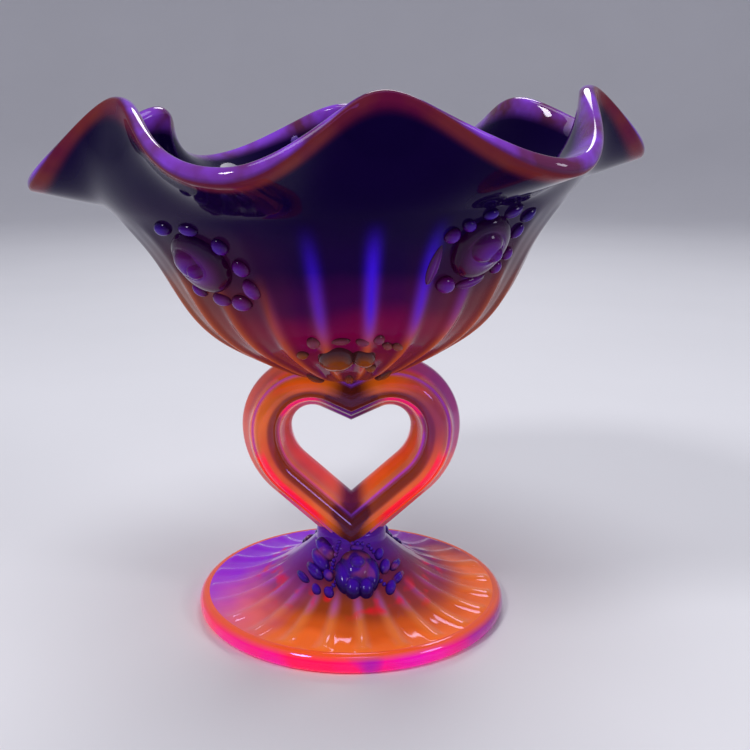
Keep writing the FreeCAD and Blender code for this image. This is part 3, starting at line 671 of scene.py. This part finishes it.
def rim_glass():
    """Hot pink light that the foot's thick edge gathers, painted as a glow, more orange towards its
    top.
    """
    c = settings().colours
    n = Nodes("rim_glass")
    body = n.mix(n.spread(n.noise(30, 2.0), 0.38, 0.58), c.rim_pink, c.rim_magenta)
    body = n.mix(n.spread(n.noise(42, 2.0), 0.56, 0.70), body, "8A10C0")
    # Painted shade: darker purple towards the right and the back
    turned = n.spread(n.plus(n.axis(0), n.times(n.axis(1), 0.8)), -0.006, 0.030)
    body = n.mix(turned, body, "6A0068", 0.9)
    body = n.mix(n.spread(n.axis(2), 0.0036, 0.0050), body, "E0602C")
    return n.finish(body, 0.75, (60, 0.2), transmission=0.3, coat=0.5, specular=0.8)


def relief_glass():
    """Roses and leaves: the colours of the wall behind, painted shade in the grooves, painted violet
    highlights on the crowns.
    """
    c = settings().colours
    n = Nodes("relief_glass")
    height = n.plus(n.axis(2), n.drift(90, 0.02))
    body = n.ramp(n.spread(height, 0.0, 0.125), (
        (0.0, "6A2410"), (0.10, "300C70"), (0.5, "6A2C14"), (0.66, "7A3C10"), (0.76, "6A2414"),
        (0.86, "4E0428"), (1.0, "12023A"),
    ))
    amber = n.times(n.spread(n.noise(190, 1.0), 0.56, 0.66), n.spread(n.axis(2), 0.05, 0.03))
    body = n.mix(amber, body, "8A3A20", 0.7)
    # Painted shade: darker wherever the relief stands low, in its grooves and round its edges
    body = n.mix(n.spread(n.attribute("crown"), 0.80, 0.10), body, "0C0222", 0.75)
    # Painted violet highlights on the highest crowns, left off the small roses under the bowl
    away = n.spread(n.apart(n.axis(2), UNDER_ROSE_HEIGHT), 0.006, 0.018)
    crown = n.times(n.maths("POWER", n.attribute("crown"), 2.0), away)
    body = n.mix(crown, body, c.crown_violet, 0.30)
    return n.finish(body, 0.6, (160, 0.2, 0.0002), coat=0.35, specular=0.05)


# ---- Bowl and lip ------------------------------------------------------------------------------------
def lip_folds(columns):
    """Azimuth, radius and rise of the lip's edge at even steps from fold to fold.

    Between two folds the azimuth runs straight, and the radius and rise follow half a cosine wave.
    """
    bowl = settings().bowl
    count = len(LIP_HAND_WORK)
    valley = np.where(np.arange(count) % 2 == 0, 1.0, -1.0)
    azimuth = math.degrees(bowl.lip_turn) + 360.0 / count * np.arange(count) + LIP_HAND_WORK[:, 0]
    radius = (bowl.lip_radius + bowl.lip_radius_wave * valley) / MM + LIP_HAND_WORK[:, 1]
    rise = (bowl.lip_rise - bowl.lip_height_wave * valley) / MM + LIP_HAND_WORK[:, 2]
    t = np.arange(columns) * count / columns
    k = t.astype(int)
    after, way = (k + 1) % count, t - k
    ease = (1 - np.cos(math.pi * way)) / 2
    turn = (azimuth[after] - azimuth[k]) % 360.0
    return (
        np.radians(azimuth[k] + turn * way),
        radius[k] + (radius[after] - radius[k]) * ease,
        rise[k] + (rise[after] - rise[k]) * ease,
    )


def around(radius, height, azimuth):
    """Points at a radius and height, turned about the axis to each azimuth."""
    return np.stack([radius * np.cos(azimuth), radius * np.sin(azimuth), height + 0 * azimuth], -1)


def lip_surface(wall, shares, side, folds):
    """Rows of the lip at shares of the way from the wall to the edge; side is 1 outside, -1 inside.

    The middle of the glass follows a quadratic curve: it leaves the wall in the wall's direction and
    ends at the edge. Half the thickness is added along a normal that starts level.
    """
    bowl = settings().bowl
    azimuth, radius, rise = folds
    top_r, top_z, normal_r, normal_z = wall.at(wall.length)
    gap, edge_gap = bowl.glass * LIP_GAP / MM, bowl.lip_glass / MM
    s = np.asarray(shares, float)[:, None]
    start = (top_r - gap / 2, top_z)
    bend = (start[0] - normal_z * 0.5 * rise, start[1] + normal_r * 0.5 * rise)
    edge = (radius, top_z + rise)
    middle = [a * (1 - s) ** 2 + 2 * b * s * (1 - s) + e * s**2 for a, b, e in zip(start, bend, edge)]
    run = [(b - a) * (1 - s) + (e - b) * s for a, b, e in zip(start, bend, edge)]
    size = np.hypot(*run)
    lean_r, lean_z = (1 - s) + s * run[1] / size, -s * run[0] / size
    lean = np.hypot(lean_r, lean_z)
    half = side * (gap * (1 - s) + edge_gap * s) / 2
    return around(middle[0] + half * lean_r / lean, middle[1] + half * lean_z / lean, azimuth[None])


def lip_rounding(wall, folds, steps):
    """Rounded edge: half an ellipse from the outside to the inside, standing along the lip's run."""
    outside, inside, before = (
        lip_surface(wall, [s], side, folds)[0] for s, side in ((1.0, 1), (1.0, -1), (0.97, 1))
    )
    run = outside - before
    run /= np.linalg.norm(run, axis=1)[:, None]
    half = (outside - inside) / 2
    turn = np.linspace(0, math.pi, steps + 2)[1:-1, None, None]
    height = LIP_ROUNDING * settings().bowl.lip_glass / MM
    return (outside + inside) / 2 + half * np.cos(turn) + run * height * np.sin(turn)


def inner_wall(wall):
    """Inside of the bowl's wall: the outside moved in by the glass, levelled at the lip."""
    bowl = settings().bowl
    glass = bowl.glass / MM
    moved = wall.points - wall.normal * glass
    top_r, top_z = wall.points[-1]
    keep = moved[(moved[:, 1] < top_z - 2.0) & (moved[:, 0] > 1.0)][::20]
    base = (0.0, bowl.base_height / MM + glass)
    return smooth_curve([base, *keep, (top_r - glass * LIP_GAP, top_z)], 60, start_slope=(1.0, 0.0))


def build_bowl():
    """Bowl and lip as one skin: out up the wall, up the lip, over its edge and down inside.

    Outside, each row is the wall's curve at one length, pushed out along its normal by the ribs.
    """
    bowl = settings().bowl
    wall = bowl_wall()
    folds = lip_folds(LIP_COLUMNS)
    azimuth = folds[0]
    along = np.linspace(0.012, 1.0, 84)[:, None] * wall.length
    radius, height, normal_r, normal_z = wall.at(along)
    share_up = along / wall.length
    strength = smooth_step(share_up, 0.10, 0.34) * (1 - 0.72 * smooth_step(share_up, 0.56, 0.86))
    strength = strength * (1 - smooth_step(share_up, 0.93, 1.0))
    ridge = rib_wave(azimuth[None], 0.0, 2.6) * strength
    out = bowl.rib_height / MM * ridge
    outside = around(radius + out * normal_r, height + out * normal_z, azimuth[None])
    shares = np.linspace(0, 1, 27)
    lip_out = lip_surface(wall, shares[1:], 1, folds)
    edge = lip_rounding(wall, folds, 9)
    lip_in = lip_surface(wall, shares[::-1], -1, folds)
    inside = inner_wall(wall)[::-1][1:-1]
    inner = around(inside[:, :1], inside[:, 1:], azimuth[None])
    grid = np.concatenate([outside, lip_out, edge, lip_in, inner])
    base = wall.points[0]
    poles = wall.leaned(np.array([[0, 0, base[1]], [0, 0, base[1] + bowl.glass / MM]]))
    mesh = rings_to_mesh(wall.leaned(grid), *poles)

    # Masks for the painted ridge highlights and reflections: the ribs' crests, and a band below the lip
    crest = rib_wave(azimuth[None], 0.0, 7.0) * smooth_step(share_up, 0.12, 0.30)
    upper = bump(share_up, 0.70, 0.80, 0.20) + 0 * azimuth[None]

    side = smooth_step(shares[1:, None], 0.84, 0.96)
    # Top of the lip: where its painted violet reflection and its coat go
    top = smooth_step(np.linspace(0, 1, len(edge))[:, None], 0.10, 0.42)
    fade = smooth_step(shares[::-1, None], 0.80, 1.0)

    def by_row(*values):
        """One value per vertex, from one block of values per block of rows."""
        blocks = zip((outside, lip_out, edge, lip_in, inner), values)
        rows = [np.broadcast_to(np.asarray(v, float), block.shape[:2]) for block, v in blocks]
        return np.concatenate([np.concatenate(rows).ravel(), [0.0, 0.0]])

    attributes = {
        "crest": by_row(crest, 0, 0, 0, 0),
        "upper": by_row(upper, 0, 0, 0, 0),
        "lip_side": by_row(0, side, 1 - top, 0, 0),
        "lip_top": by_row(0, 0, top, fade, 0),
    }
    make_piece(
        "bowl_and_crimped_lip", [mesh], bowl_glass,
        ["bowl_wall", "bowl_ribs", "crimped_rim"], attributes, crease=60.0,
    )


# ---- Heart -------------------------------------------------------------------------------------------
def heart_section():
    """Bar across by depth: an outer edge, a hollowed bevel, a thin step and a round moulding, twice."""
    heart = settings().heart
    w, d, m, top = (v / MM for v in (
        heart.bar_half, heart.bar_depth, heart.moulding_half, heart.moulding_height))
    bevel = smooth_curve([(w, 0.0), (w - 0.10, 1.5), (w - 1.95, d - 3.5), (m + 0.95, d - 0.25)], 18)
    step = np.array([(m + 0.55, d), (m + 0.30, d - 0.30), (m + 0.05, d - 0.25), (m, d + 0.05)])
    turn = np.linspace(0, math.pi / 2, 14)[1:]
    crown = np.stack([m * np.cos(turn) ** 0.9, d + 0.05 + (top - 0.05) * np.sin(turn)], -1)
    quarter = np.concatenate([bevel, step, crown])
    left = quarter[::-1][1:] * (-1, 1)
    upper = np.concatenate([quarter, left])
    return np.concatenate([upper, upper[::-1][1:-1] * (1, -1)])


def heart_half(across):
    """Right half of the heart at each distance across the bar, from the cusp to the point.

    A straight line, an arc round the lobe, an arc down the side and a straight line; each radius
    grows by the distance across, and both lines end where they meet the axis, which mitres them.
    """
    heart = settings().heart
    half, lobe, side, middle = (v / MM for v in (
        heart.half_width, heart.lobe_radius, heart.side_radius, heart.centre_height))
    u = np.asarray(across, float)[None]
    cusp, point = heart.cusp_slope, heart.point_slope

    def arc(radius, start, end, count):
        """Arcs about a centre that keeps the heart's half width at its widest."""
        turn = np.linspace(start, end, count)[:, None]
        x = half - radius + (radius + u) * np.cos(turn)
        return np.stack([x, middle + (radius + u) * np.sin(turn)], -1)

    lobe_arc = arc(lobe, math.pi / 2 + cusp, 0.0, 56)
    side_arc = arc(side, 0.0, point - math.pi / 2, 40)

    def to_axis(end, slope, count):
        """Straight lines from the axis to an arc's end, at a slope."""
        way = np.linspace(1.0, 0.0, count)[:, None, None]
        run = end[None, :, :1] * np.array([1.0, math.tan(slope)])
        return end[None] - run * way

    first = to_axis(lobe_arc[0], cusp, 10)
    last = to_axis(side_arc[-1], point, 36)[::-1]
    return np.concatenate([first, lobe_arc[1:], side_arc[1:], last[1:]])


def build_heart():
    """The section carried round both halves of the heart, and held just inside the bowl and neck."""
    section = heart_section()
    half = heart_half(section[:, 0])
    rows = len(half)
    loop = np.concatenate([half, half[::-1][1:-1] * (-1, 1)])
    depth = np.broadcast_to(section[:, 1], loop.shape[:2])
    grid = np.stack([loop[..., 0], depth, loop[..., 1]], -1)
    wall = bowl_wall()
    upright = wall.upright(grid)
    from_axis = np.hypot(upright[..., 0], upright[..., 1])
    ceiling = np.interp(from_axis, wall.points[:, 0], wall.points[:, 1]) + HEART_INTO_BOWL
    upright[..., 2] = np.minimum(upright[..., 2], ceiling)
    grid = wall.leaned(upright)
    floor = settings().foot.dome_height / MM - HEART_INTO_NECK
    grid[..., 2] = np.maximum(grid[..., 2], floor)
    way = np.concatenate([np.arange(rows), np.arange(rows)[::-1][1:-1]]) / (rows - 1)
    way = np.broadcast_to(way[:, None], grid.shape[:2])
    across = np.broadcast_to(section[:, 0], grid.shape[:2])
    front = np.abs(depth)
    right = smooth_step(grid[..., 0], -6.0, 10.0)
    low_arm = bump(way, 0.60, 0.86, 0.07)
    # Painted red glow: the lower arms' outer half, inside the top, and faintly the lower arms' inner
    # edge
    red = bump(across, 1.4, 3.4, 0.9) * low_arm
    red = red + 0.9 * bump(across, -4.8, -3.2, 0.5) * bump(way, 0.14, 0.34, 0.05)
    red = red + 0.12 * bump(across, -7.4, -6.2, 0.8) * bump(way, 0.66, 0.88, 0.06)
    # Painted mauve reflections: the outer bevel, most on the right, and the inner bevel on the left
    mauve = smooth_step(across, 4.2, 5.2) * (0.45 + 0.55 * right) * (1 - 0.5 * low_arm)
    mauve = mauve + 0.5 * smooth_step(-across, 4.0, 5.0) * (1 - right)
    # Painted shade: the moulding's inner half, and the ends at the cusp and the point
    dark = bump(across, -3.0, -1.2, 1.0) * 0.8
    dark = dark + smooth_step(np.abs(way - 0.5), 0.40, 0.48) * (np.abs(across) < 8)
    # Painted highlight lines along the outer and inner steps
    line_out = np.exp(-(((across - 3.7) / 0.3) ** 2)) * smooth_step(front, 6.8, 7.8)
    line_in = np.exp(-(((across + 3.8) / 0.35) ** 2)) * smooth_step(front, 6.8, 7.8)
    line = 0.7 * line_out * (1 - low_arm) + line_in * (0.35 + 0.65 * right * bump(way, 0.5, 0.97, 0.05))
    attributes = {
        "red": np.clip(red, 0, 1).ravel(),
        "mauve": np.clip(mauve, 0, 1).ravel(),
        "line": np.clip(line * 0.85, 0, 1).ravel(),
        "dark": np.clip(dark, 0, 1).ravel(),
    }
    make_piece(
        "heart_stem", [looped_mesh(grid)], heart_glass,
        ["heart_ring", "heart_front_moulding", "heart_back_moulding"], attributes, crease=32.0,
    )


# ---- Foot --------------------------------------------------------------------------------------------
def build_foot():
    """Neck and dome as one skin: over the neck's top, down the ribbed dome, and back up underneath."""
    foot = settings().foot
    wall = foot_wall()
    top, dome, edge = (v / MM for v in (foot.neck_top, foot.dome_height, foot.radius - foot.band_width))
    neck = foot.neck_radius / MM
    round_off, seat_width = 2.4, 2.6
    azimuth = turns(RIB_COUNT * 24)
    crown = np.linspace(0.1, 1.0, 8)[:, None] * (neck - round_off)
    turn = np.linspace(math.pi / 2, 0, 10)[1:]
    fall = round_off * (1 - np.stack([np.cos(turn), np.sin(turn)], -1))
    shoulder = np.array([neck, top]) - fall
    profile = np.concatenate([np.concatenate([crown, 0 * crown + top], 1), shoulder])
    upper = around(profile[:, :1], profile[:, 1:], azimuth)
    along = np.linspace(1.0, 0.0, 72)[:, None] * wall.length
    radius, height, normal_r, normal_z = wall.at(along)
    share_up = along / wall.length
    strength = smooth_step(share_up, 0.0, 0.04) * (1 - smooth_step(share_up, 0.40, 0.72))
    ridge = rib_wave(azimuth, -foot.rib_turn, 3.0) * strength
    out = foot.rib_height / MM * ridge
    ribbed = around(radius + out * normal_r, height + out * normal_z, azimuth)
    seat = edge - seat_width
    side = np.array([(edge, seat_width), (edge, 0.0), (seat, 0.0)])
    glass = foot.glass / MM
    hollow_top = dome - 2 * glass
    under = wall.points - wall.normal * glass
    past_seat = (under[:, 0] < seat - 2) & (under[:, 1] > 0.3) & (under[:, 1] < hollow_top - 0.5)
    below = smooth_curve([(seat, 0.0), *under[past_seat][::14], (0.0, hollow_top)], 50)[1:-1]
    lower = np.concatenate([side, below])
    hidden = around(lower[:, :1], lower[:, 1:], azimuth)
    grid = np.concatenate([upper, ribbed, hidden])
    mesh = rings_to_mesh(grid, (0, 0, top), (0, 0, hollow_top))
    values = np.concatenate([np.zeros(upper.shape[:2]), ridge, np.zeros(hidden.shape[:2])])
    make_piece(
        "foot_dome_and_neck", [mesh], foot_glass,
        ["foot_dome", "foot_ribs", "stem_neck"], {"ridge": np.concatenate([values.ravel(), [0, 0]])},
        crease=50.0,
    )


def build_foot_rim():
    """Rounded band: its section is flat below and beside the dome, and an arc outside."""
    foot = settings().foot
    outer, high = foot.radius / MM, foot.edge_height / MM
    inner = outer - foot.band_width / MM
    low = (outer - 1.3, 0.0)
    outside = smooth_curve([
        low, (outer - 0.22, 0.95), (outer, high * 0.46), (outer - 0.75, high * 0.84),
        (outer - 1.9, high * 0.985), (inner, high),
    ], 34)
    outside[:, 0] = np.minimum(outside[:, 0], outer)
    section = np.concatenate([outside, [(inner, 0.0)]])
    grid = around(section[:, :1], section[:, 1:], turns(360))
    make_piece(
        "foot_rim_band", [looped_mesh(grid)], rim_glass, ["foot_rim"], {}, crease=50.0
    )


# ---- Relief ------------------------------------------------------------------------------------------
def soft_greatest(a, b, softness):
    """The greater of a and b, rounded where they cross.

    Half of their sum and of the root of their difference squared plus the softness squared.
    """
    return (a + b + np.sqrt((a - b) ** 2 + softness**2)) / 2


def petal_reach(petals, turn):
    """Distance from the rose's centre to the farthest petal's edge in each direction.

    A ray from the centre meets a petal's ellipse where a quadratic in the distance is zero; the
    larger root is the far side.
    """
    reach = np.zeros_like(turn)
    for across, up, width, size, _ in petals:
        a = (np.cos(turn) / width) ** 2 + (np.sin(turn) / size) ** 2
        b = np.cos(turn) * across / width**2 + np.sin(turn) * up / size**2
        c = (across / width) ** 2 + (up / size) ** 2 - 1
        inside = b**2 - a * c
        root = (b + np.sqrt(np.maximum(inside, 0))) / a
        reach = np.maximum(reach, np.where(inside > 0, root, 0))
    return reach


def rose_parts(wall, azimuth, along, radius, petals, rows=64, columns=160):
    """A rose of wrapped petals laid on a wall: its mesh and how much each vertex is a crown.

    Each petal is half an egg: its rise times the root of one less the squares of the shares of its
    half width and half length from its own centre. The skin is the greatest of them, with a groove
    where one comes out of another, and it drops a little along a spiral of one and a half turns.
    """
    p = np.linspace(0.015, 1.0, rows)[:, None] ** 0.7
    turn = turns(columns)
    reach = petal_reach(petals, turn) * p
    x, y = reach * np.cos(turn), reach * np.sin(turn)
    out = np.full_like(x, -0.05)
    crown = np.zeros_like(x)
    for across, up, half_width, half_length, rise in petals:
        inside = 1 - ((x - across) / half_width) ** 2 - ((y - up) / half_length) ** 2
        dome = rise * np.sign(inside) * np.sqrt(np.abs(inside))
        groove = 0.03 * np.exp(-(((dome - out) / 0.045) ** 2)) * (out > 0.05)
        crown = np.maximum(crown * (1 - 0.4 * (dome > out)), np.clip(dome / rise, 0, 1) ** 3)
        out = soft_greatest(out, dome, 0.02) - groove
    phase = 1.5 * p - turn / (2 * math.pi) + 0.3
    saw = phase - np.floor(phase)
    fade = smooth_step(p, 0.25, 0.5) * (1 - smooth_step(p, 0.85, 1.0))
    out = out * (1 - 0.10 * fade * (1 - saw**0.7 * (1 - saw**14)))
    out = out * radius - 0.3 * smooth_step(p, 0.92, 1.0)
    grid = wall.place(azimuth, along + y * radius, x * radius, out)
    foot_x, foot_y = x[-1:] * radius * 0.9, y[-1:] * radius * 0.9
    skirt = wall.place(azimuth, along + foot_y, foot_x, np.full((1, columns), -ROSE_SINK))
    poles = wall.place(azimuth, np.full(2, along), np.zeros(2), np.array([out[0].mean(), -ROSE_SINK]))
    crown = np.concatenate([crown.ravel(), np.zeros(columns), [0.6, 0.0]])
    return rings_to_mesh(np.concatenate([grid, skirt]), *poles), crown


def lobe_parts(wall, azimuth, along, entry, rose_radius=1.0):
    """A bead or leaf lobe on a wall: an ellipsoid, drawn to a point and creased where it is long.

    With v from pole to pole and w round it, the place along is the cosine of v reversed, and the
    radius is the sine of v less a taper; the cosine of w takes it across and the sine of w out.
    """
    across, up, turn, straight, radius = entry
    across, up = across * rose_radius, up * rose_radius
    leaf = straight > LEAF_FROM
    rows, columns = (34, 40) if leaf else (22, 28)
    v = np.linspace(0, math.pi, rows + 2)[1:-1, None]
    w = turns(columns)
    taper = 0.22 if leaf else 0.0
    swell = np.sin(v) ** (1.0 + taper) * (1 - taper * (1 - np.cos(v)) / 2)
    x, out = radius * swell * np.cos(w), radius * swell * np.sin(w)
    if leaf:
        out = out * (1 - 0.22 * np.exp(-((x / (0.2 * radius)) ** 2)))
    y = -(straight / 2 + radius) * np.cos(v) + 0 * w
    cosine, sine = math.cos(math.radians(turn)), math.sin(math.radians(turn))

    def on_wall(px, py, pz):
        """Points of the lobe turned to lie the right way, and laid on the wall."""
        east, north = px * cosine - py * sine, px * sine + py * cosine
        return wall.place(azimuth, along + up + north, across + east, pz)

    ends = np.array([-1, 1]) * (straight / 2 + radius)
    poles = on_wall(np.zeros(2), ends, np.zeros(2))
    crown = np.concatenate([np.clip(out / radius, 0, 1).ravel(), [0, 0]])
    return rings_to_mesh(on_wall(x, y, out), *poles), crown


def relief_piece(name, built, node):
    """One object from relief parts and their crowns."""
    crown = np.concatenate([crown for _, crown in built])
    parts = [part for part, _ in built]
    make_piece(name, parts, relief_glass, [node], {"crown": crown}, crease=70.0)


def bowl_rose_places():
    """Name, wall, azimuth, length along the wall and garland of each rose of the bowl."""
    wall = bowl_wall()
    return [
        (name, wall, half_turn + azimuth, share * wall.length, entries)
        for name, (half_turn, (azimuth, share), entries) in ROSES.items()
    ]


def build_bowl_roses():
    """The petals of the four roses round the bowl."""
    radius = settings().bowl.rose_radius / MM
    for name, wall, azimuth, along, _ in bowl_rose_places():
        built = rose_parts(wall, azimuth, along, radius, ROSE_PETALS)
        relief_piece("rose_" + name + "_petals", [built], "rose_" + name)


def build_garlands():
    """Beads and leaves beside each of the bowl's roses."""
    radius = settings().bowl.rose_radius / MM
    for name, wall, azimuth, along, entries in bowl_rose_places():
        node = "rose_" + name + "_leaves"
        built = [lobe_parts(wall, azimuth, along, entry, radius) for entry in entries]
        relief_piece(node + "_spray", built, node)


def build_under_roses():
    """Small roses under the bowl, front and back, with their sprays and the leaves at its base."""
    wall = bowl_wall()
    along = UNDER_ROSE_SHARE * wall.length
    radius = settings().bowl.under_rose_radius / MM
    for name, azimuth in (("front", FRONT), ("back", BACK)):
        node = "under_rose_" + name
        built = rose_parts(wall, azimuth, along, radius, UNDER_PETALS)
        relief_piece(node + "_petals", [built], node)
        spray = [lobe_parts(wall, azimuth, along, entry, radius) for entry in UNDER_GARLAND]
        relief_piece(node + "_spray", spray, node + "_leaves")
    low = CALYX_SHARE * wall.length
    leaves = [lobe_parts(wall, azimuth, low, CALYX_LEAF) for azimuth in CALYX_ANGLES]
    relief_piece("calyx_leaf_ring", leaves, "calyx_leaves")


def build_foot_roses():
    """Roses on the foot, front and back, with leaves and strings of beads at even steps."""
    foot = settings().foot
    wall, top = foot_relief_wall()
    along = top - foot.rose_down / MM
    radius = foot.rose_radius / MM
    turn = math.degrees(foot.rose_turn)
    beads = [
        (across, up, 0, 0, BEAD)
        for a0, u0, a1, u1, count in FOOT_STRINGS
        for across, up in zip(np.linspace(a0, a1, count), np.linspace(u0, u1, count))
    ]
    for name, azimuth in (("front", FRONT + turn), ("back", BACK + turn)):
        node = "foot_rose_" + name
        built = rose_parts(wall, azimuth, along, radius, FOOT_PETALS)
        relief_piece(node + "_petals", [built], node)
        entries = (*FOOT_GARLAND, *beads)
        spray = [lobe_parts(wall, azimuth, along, entry, radius) for entry in entries]
        relief_piece(node + "_spray", spray, node + "_leaves")


# ---- Stage -------------------------------------------------------------------------------------------
LIGHTS = (      # name, place, target, size and power
    ("key_light", (-0.50, -0.50, 0.85), (0, 0, 0.08), 0.22, 3.6),
    ("fill_light", (0.85, -0.45, 0.60), (0, 0, 0.08), 0.30, 2.0),
    ("back_light", (0.10, 0.80, 0.90), (0, 0, 0.10), 0.45, 3.4),
    ("top_light", (0.0, -0.1, 1.4), (0, 0.2, 0.0), 0.8, 6.0),
)
ROOM_COLOUR, ROOM_STRENGTH = (0.60, 0.60, 0.72, 1.0), 0.34
CAMERA_PLACE, CAMERA_PITCH = (0.0, -0.29185, 0.14412), -14.0       # metres, degrees above level
LENS, SENSOR, SHIFT = 48.98, 36.0, 0.0317333


def soft_light(name, place, target, size, power):
    """A round lamp at a place, turned to shine at a target."""
    data = bpy.data.lights.new(name, "AREA")
    data.shape, data.size, data.energy = "DISK", size, power
    light = bpy.data.objects.new(name, data)
    light.location = place
    x, y, z = np.array(target) - np.array(place)
    light.rotation_euler = (math.atan2(math.hypot(x, y), -z), 0.0, math.atan2(x, -y) + math.pi)
    bpy.context.scene.collection.objects.link(light)


def build_floor():
    """A flat floor that bends up all round into a wall: a profile turned about the axis, in metres."""
    reach, rise, bend = 2.2, 1.3, 0.9
    turn = np.linspace(-math.pi / 2, 0, 24)
    curve = np.stack([reach - bend + bend * np.cos(turn), bend + bend * np.sin(turn)], -1)
    profile = np.concatenate([[(0.5, 0.0)], curve, [(reach, rise)]])
    grid = around(profile[:, :1], profile[:, 1:], turns(96))
    vertices, quads, triangles = rings_to_mesh(grid, (0.0, 0.0, 0.0))
    mesh = bpy.data.meshes.new("floor")
    mesh.from_pydata(vertices.tolist(), [], quads[:, ::-1].tolist() + triangles[:, ::-1].tolist())
    mesh.shade_smooth()
    c = settings().colours
    n = Nodes("floor_paint")
    darker = tuple(0.97 * part for part in c.floor)
    n.join(n.mix(n.spread(n.noise(6.0), 0.3, 0.7), c.floor, darker), n.shader.inputs["Base Color"])
    n.shader.inputs["Roughness"].default_value = 0.6
    mesh.materials.append(n.material)
    floor = bpy.data.objects.new("floor", mesh)
    bpy.context.scene.collection.objects.link(floor)


def build_stage():
    """The floor, the lamps, the light of the room and the camera."""
    build_floor()
    for light in LIGHTS:
        soft_light(*light)
    scene = bpy.context.scene
    scene.world = bpy.data.worlds.new("studio")
    scene.world.use_nodes = True
    background = scene.world.node_tree.nodes["Background"]
    background.inputs["Color"].default_value = ROOM_COLOUR
    background.inputs["Strength"].default_value = ROOM_STRENGTH
    scene.view_settings.view_transform = "Standard"
    data = bpy.data.cameras.new("camera")
    data.sensor_width, data.lens, data.shift_x, data.clip_start = SENSOR, LENS, SHIFT, 0.01
    camera = bpy.data.objects.new("camera", data)
    camera.location = CAMERA_PLACE
    camera.rotation_euler = (math.radians(90.0 + CAMERA_PITCH), 0.0, 0.0)
    scene.collection.objects.link(camera)
    scene.camera = camera


# ---- Operators and panel -----------------------------------------------------------------------------
class GLASSDISH_OT_stage(bpy.types.Operator):
    """Adds the pale floor, the soft lights and the camera"""
    bl_idname = "glass_dish.stage"
    bl_label = "Stage"
    bl_options = {"REGISTER", "UNDO"}

    def execute(self, context):
        build_stage()
        return {"FINISHED"}


class GLASSDISH_OT_foot(bpy.types.Operator):
    """Adds the ribbed foot and the neck"""
    bl_idname = "glass_dish.foot"
    bl_label = "Foot and neck"
    bl_options = {"REGISTER", "UNDO"}

    def execute(self, context):
        build_foot()
        return {"FINISHED"}


class GLASSDISH_OT_foot_rim(bpy.types.Operator):
    """Adds the rounded band round the foot"""
    bl_idname = "glass_dish.foot_rim"
    bl_label = "Foot's band"
    bl_options = {"REGISTER", "UNDO"}

    def execute(self, context):
        build_foot_rim()
        return {"FINISHED"}


class GLASSDISH_OT_foot_roses(bpy.types.Operator):
    """Adds the roses and leaves on the foot"""
    bl_idname = "glass_dish.foot_roses"
    bl_label = "Foot's roses"
    bl_options = {"REGISTER", "UNDO"}

    def execute(self, context):
        build_foot_roses()
        return {"FINISHED"}


class GLASSDISH_OT_heart(bpy.types.Operator):
    """Adds the open heart with its mouldings"""
    bl_idname = "glass_dish.heart"
    bl_label = "Heart stem"
    bl_options = {"REGISTER", "UNDO"}

    def execute(self, context):
        build_heart()
        return {"FINISHED"}


class GLASSDISH_OT_bowl(bpy.types.Operator):
    """Adds the fluted bowl and its crimped lip"""
    bl_idname = "glass_dish.bowl"
    bl_label = "Bowl and lip"
    bl_options = {"REGISTER", "UNDO"}

    def execute(self, context):
        build_bowl()
        return {"FINISHED"}


class GLASSDISH_OT_bowl_roses(bpy.types.Operator):
    """Adds the roses round the bowl"""
    bl_idname = "glass_dish.bowl_roses"
    bl_label = "Bowl's roses"
    bl_options = {"REGISTER", "UNDO"}

    def execute(self, context):
        build_bowl_roses()
        return {"FINISHED"}


class GLASSDISH_OT_garlands(bpy.types.Operator):
    """Adds the beads and leaves beside each rose"""
    bl_idname = "glass_dish.garlands"
    bl_label = "Garlands"
    bl_options = {"REGISTER", "UNDO"}

    def execute(self, context):
        build_garlands()
        return {"FINISHED"}


class GLASSDISH_OT_under_roses(bpy.types.Operator):
    """Adds the small roses and leaves under the bowl"""
    bl_idname = "glass_dish.under_roses"
    bl_label = "Small roses"
    bl_options = {"REGISTER", "UNDO"}

    def execute(self, context):
        build_under_roses()
        return {"FINISHED"}


OPERATORS = (
    GLASSDISH_OT_stage, GLASSDISH_OT_foot, GLASSDISH_OT_foot_rim, GLASSDISH_OT_foot_roses,
    GLASSDISH_OT_heart, GLASSDISH_OT_bowl, GLASSDISH_OT_bowl_roses, GLASSDISH_OT_garlands,
    GLASSDISH_OT_under_roses,
)


class GLASSDISH_PT_panel(bpy.types.Panel):
    """Lists the dish's pieces and settings"""
    bl_idname = "GLASSDISH_PT_panel"
    bl_label = "Glass dish"
    bl_space_type = "VIEW_3D"
    bl_region_type = "UI"
    bl_category = "Glass dish"

    def draw(self, context):
        for operator in OPERATORS:
            self.layout.operator(operator.bl_idname)
        dish = context.scene.glass_dish
        for group in (dish.foot, dish.heart, dish.bowl, dish.colours):
            box = self.layout.box()
            for key in group.__annotations__:
                box.prop(group, key)


CLASSES = (
    DishFootSettings, DishHeartSettings, DishBowlSettings, DishColourSettings, DishSettings,
    *OPERATORS, GLASSDISH_PT_panel,
)


def register():
    for cls in CLASSES:
        bpy.utils.register_class(cls)
    bpy.types.Scene.glass_dish = bpy.props.PointerProperty(type=DishSettings)


def unregister():
    del bpy.types.Scene.glass_dish
    for cls in reversed(CLASSES):
        bpy.utils.unregister_class(cls)


def main():
    register()
    for operator in OPERATORS:
        group, name = operator.bl_idname.split(".")
        getattr(getattr(bpy.ops, group), name)()


if __name__ == "__main__":
    main()
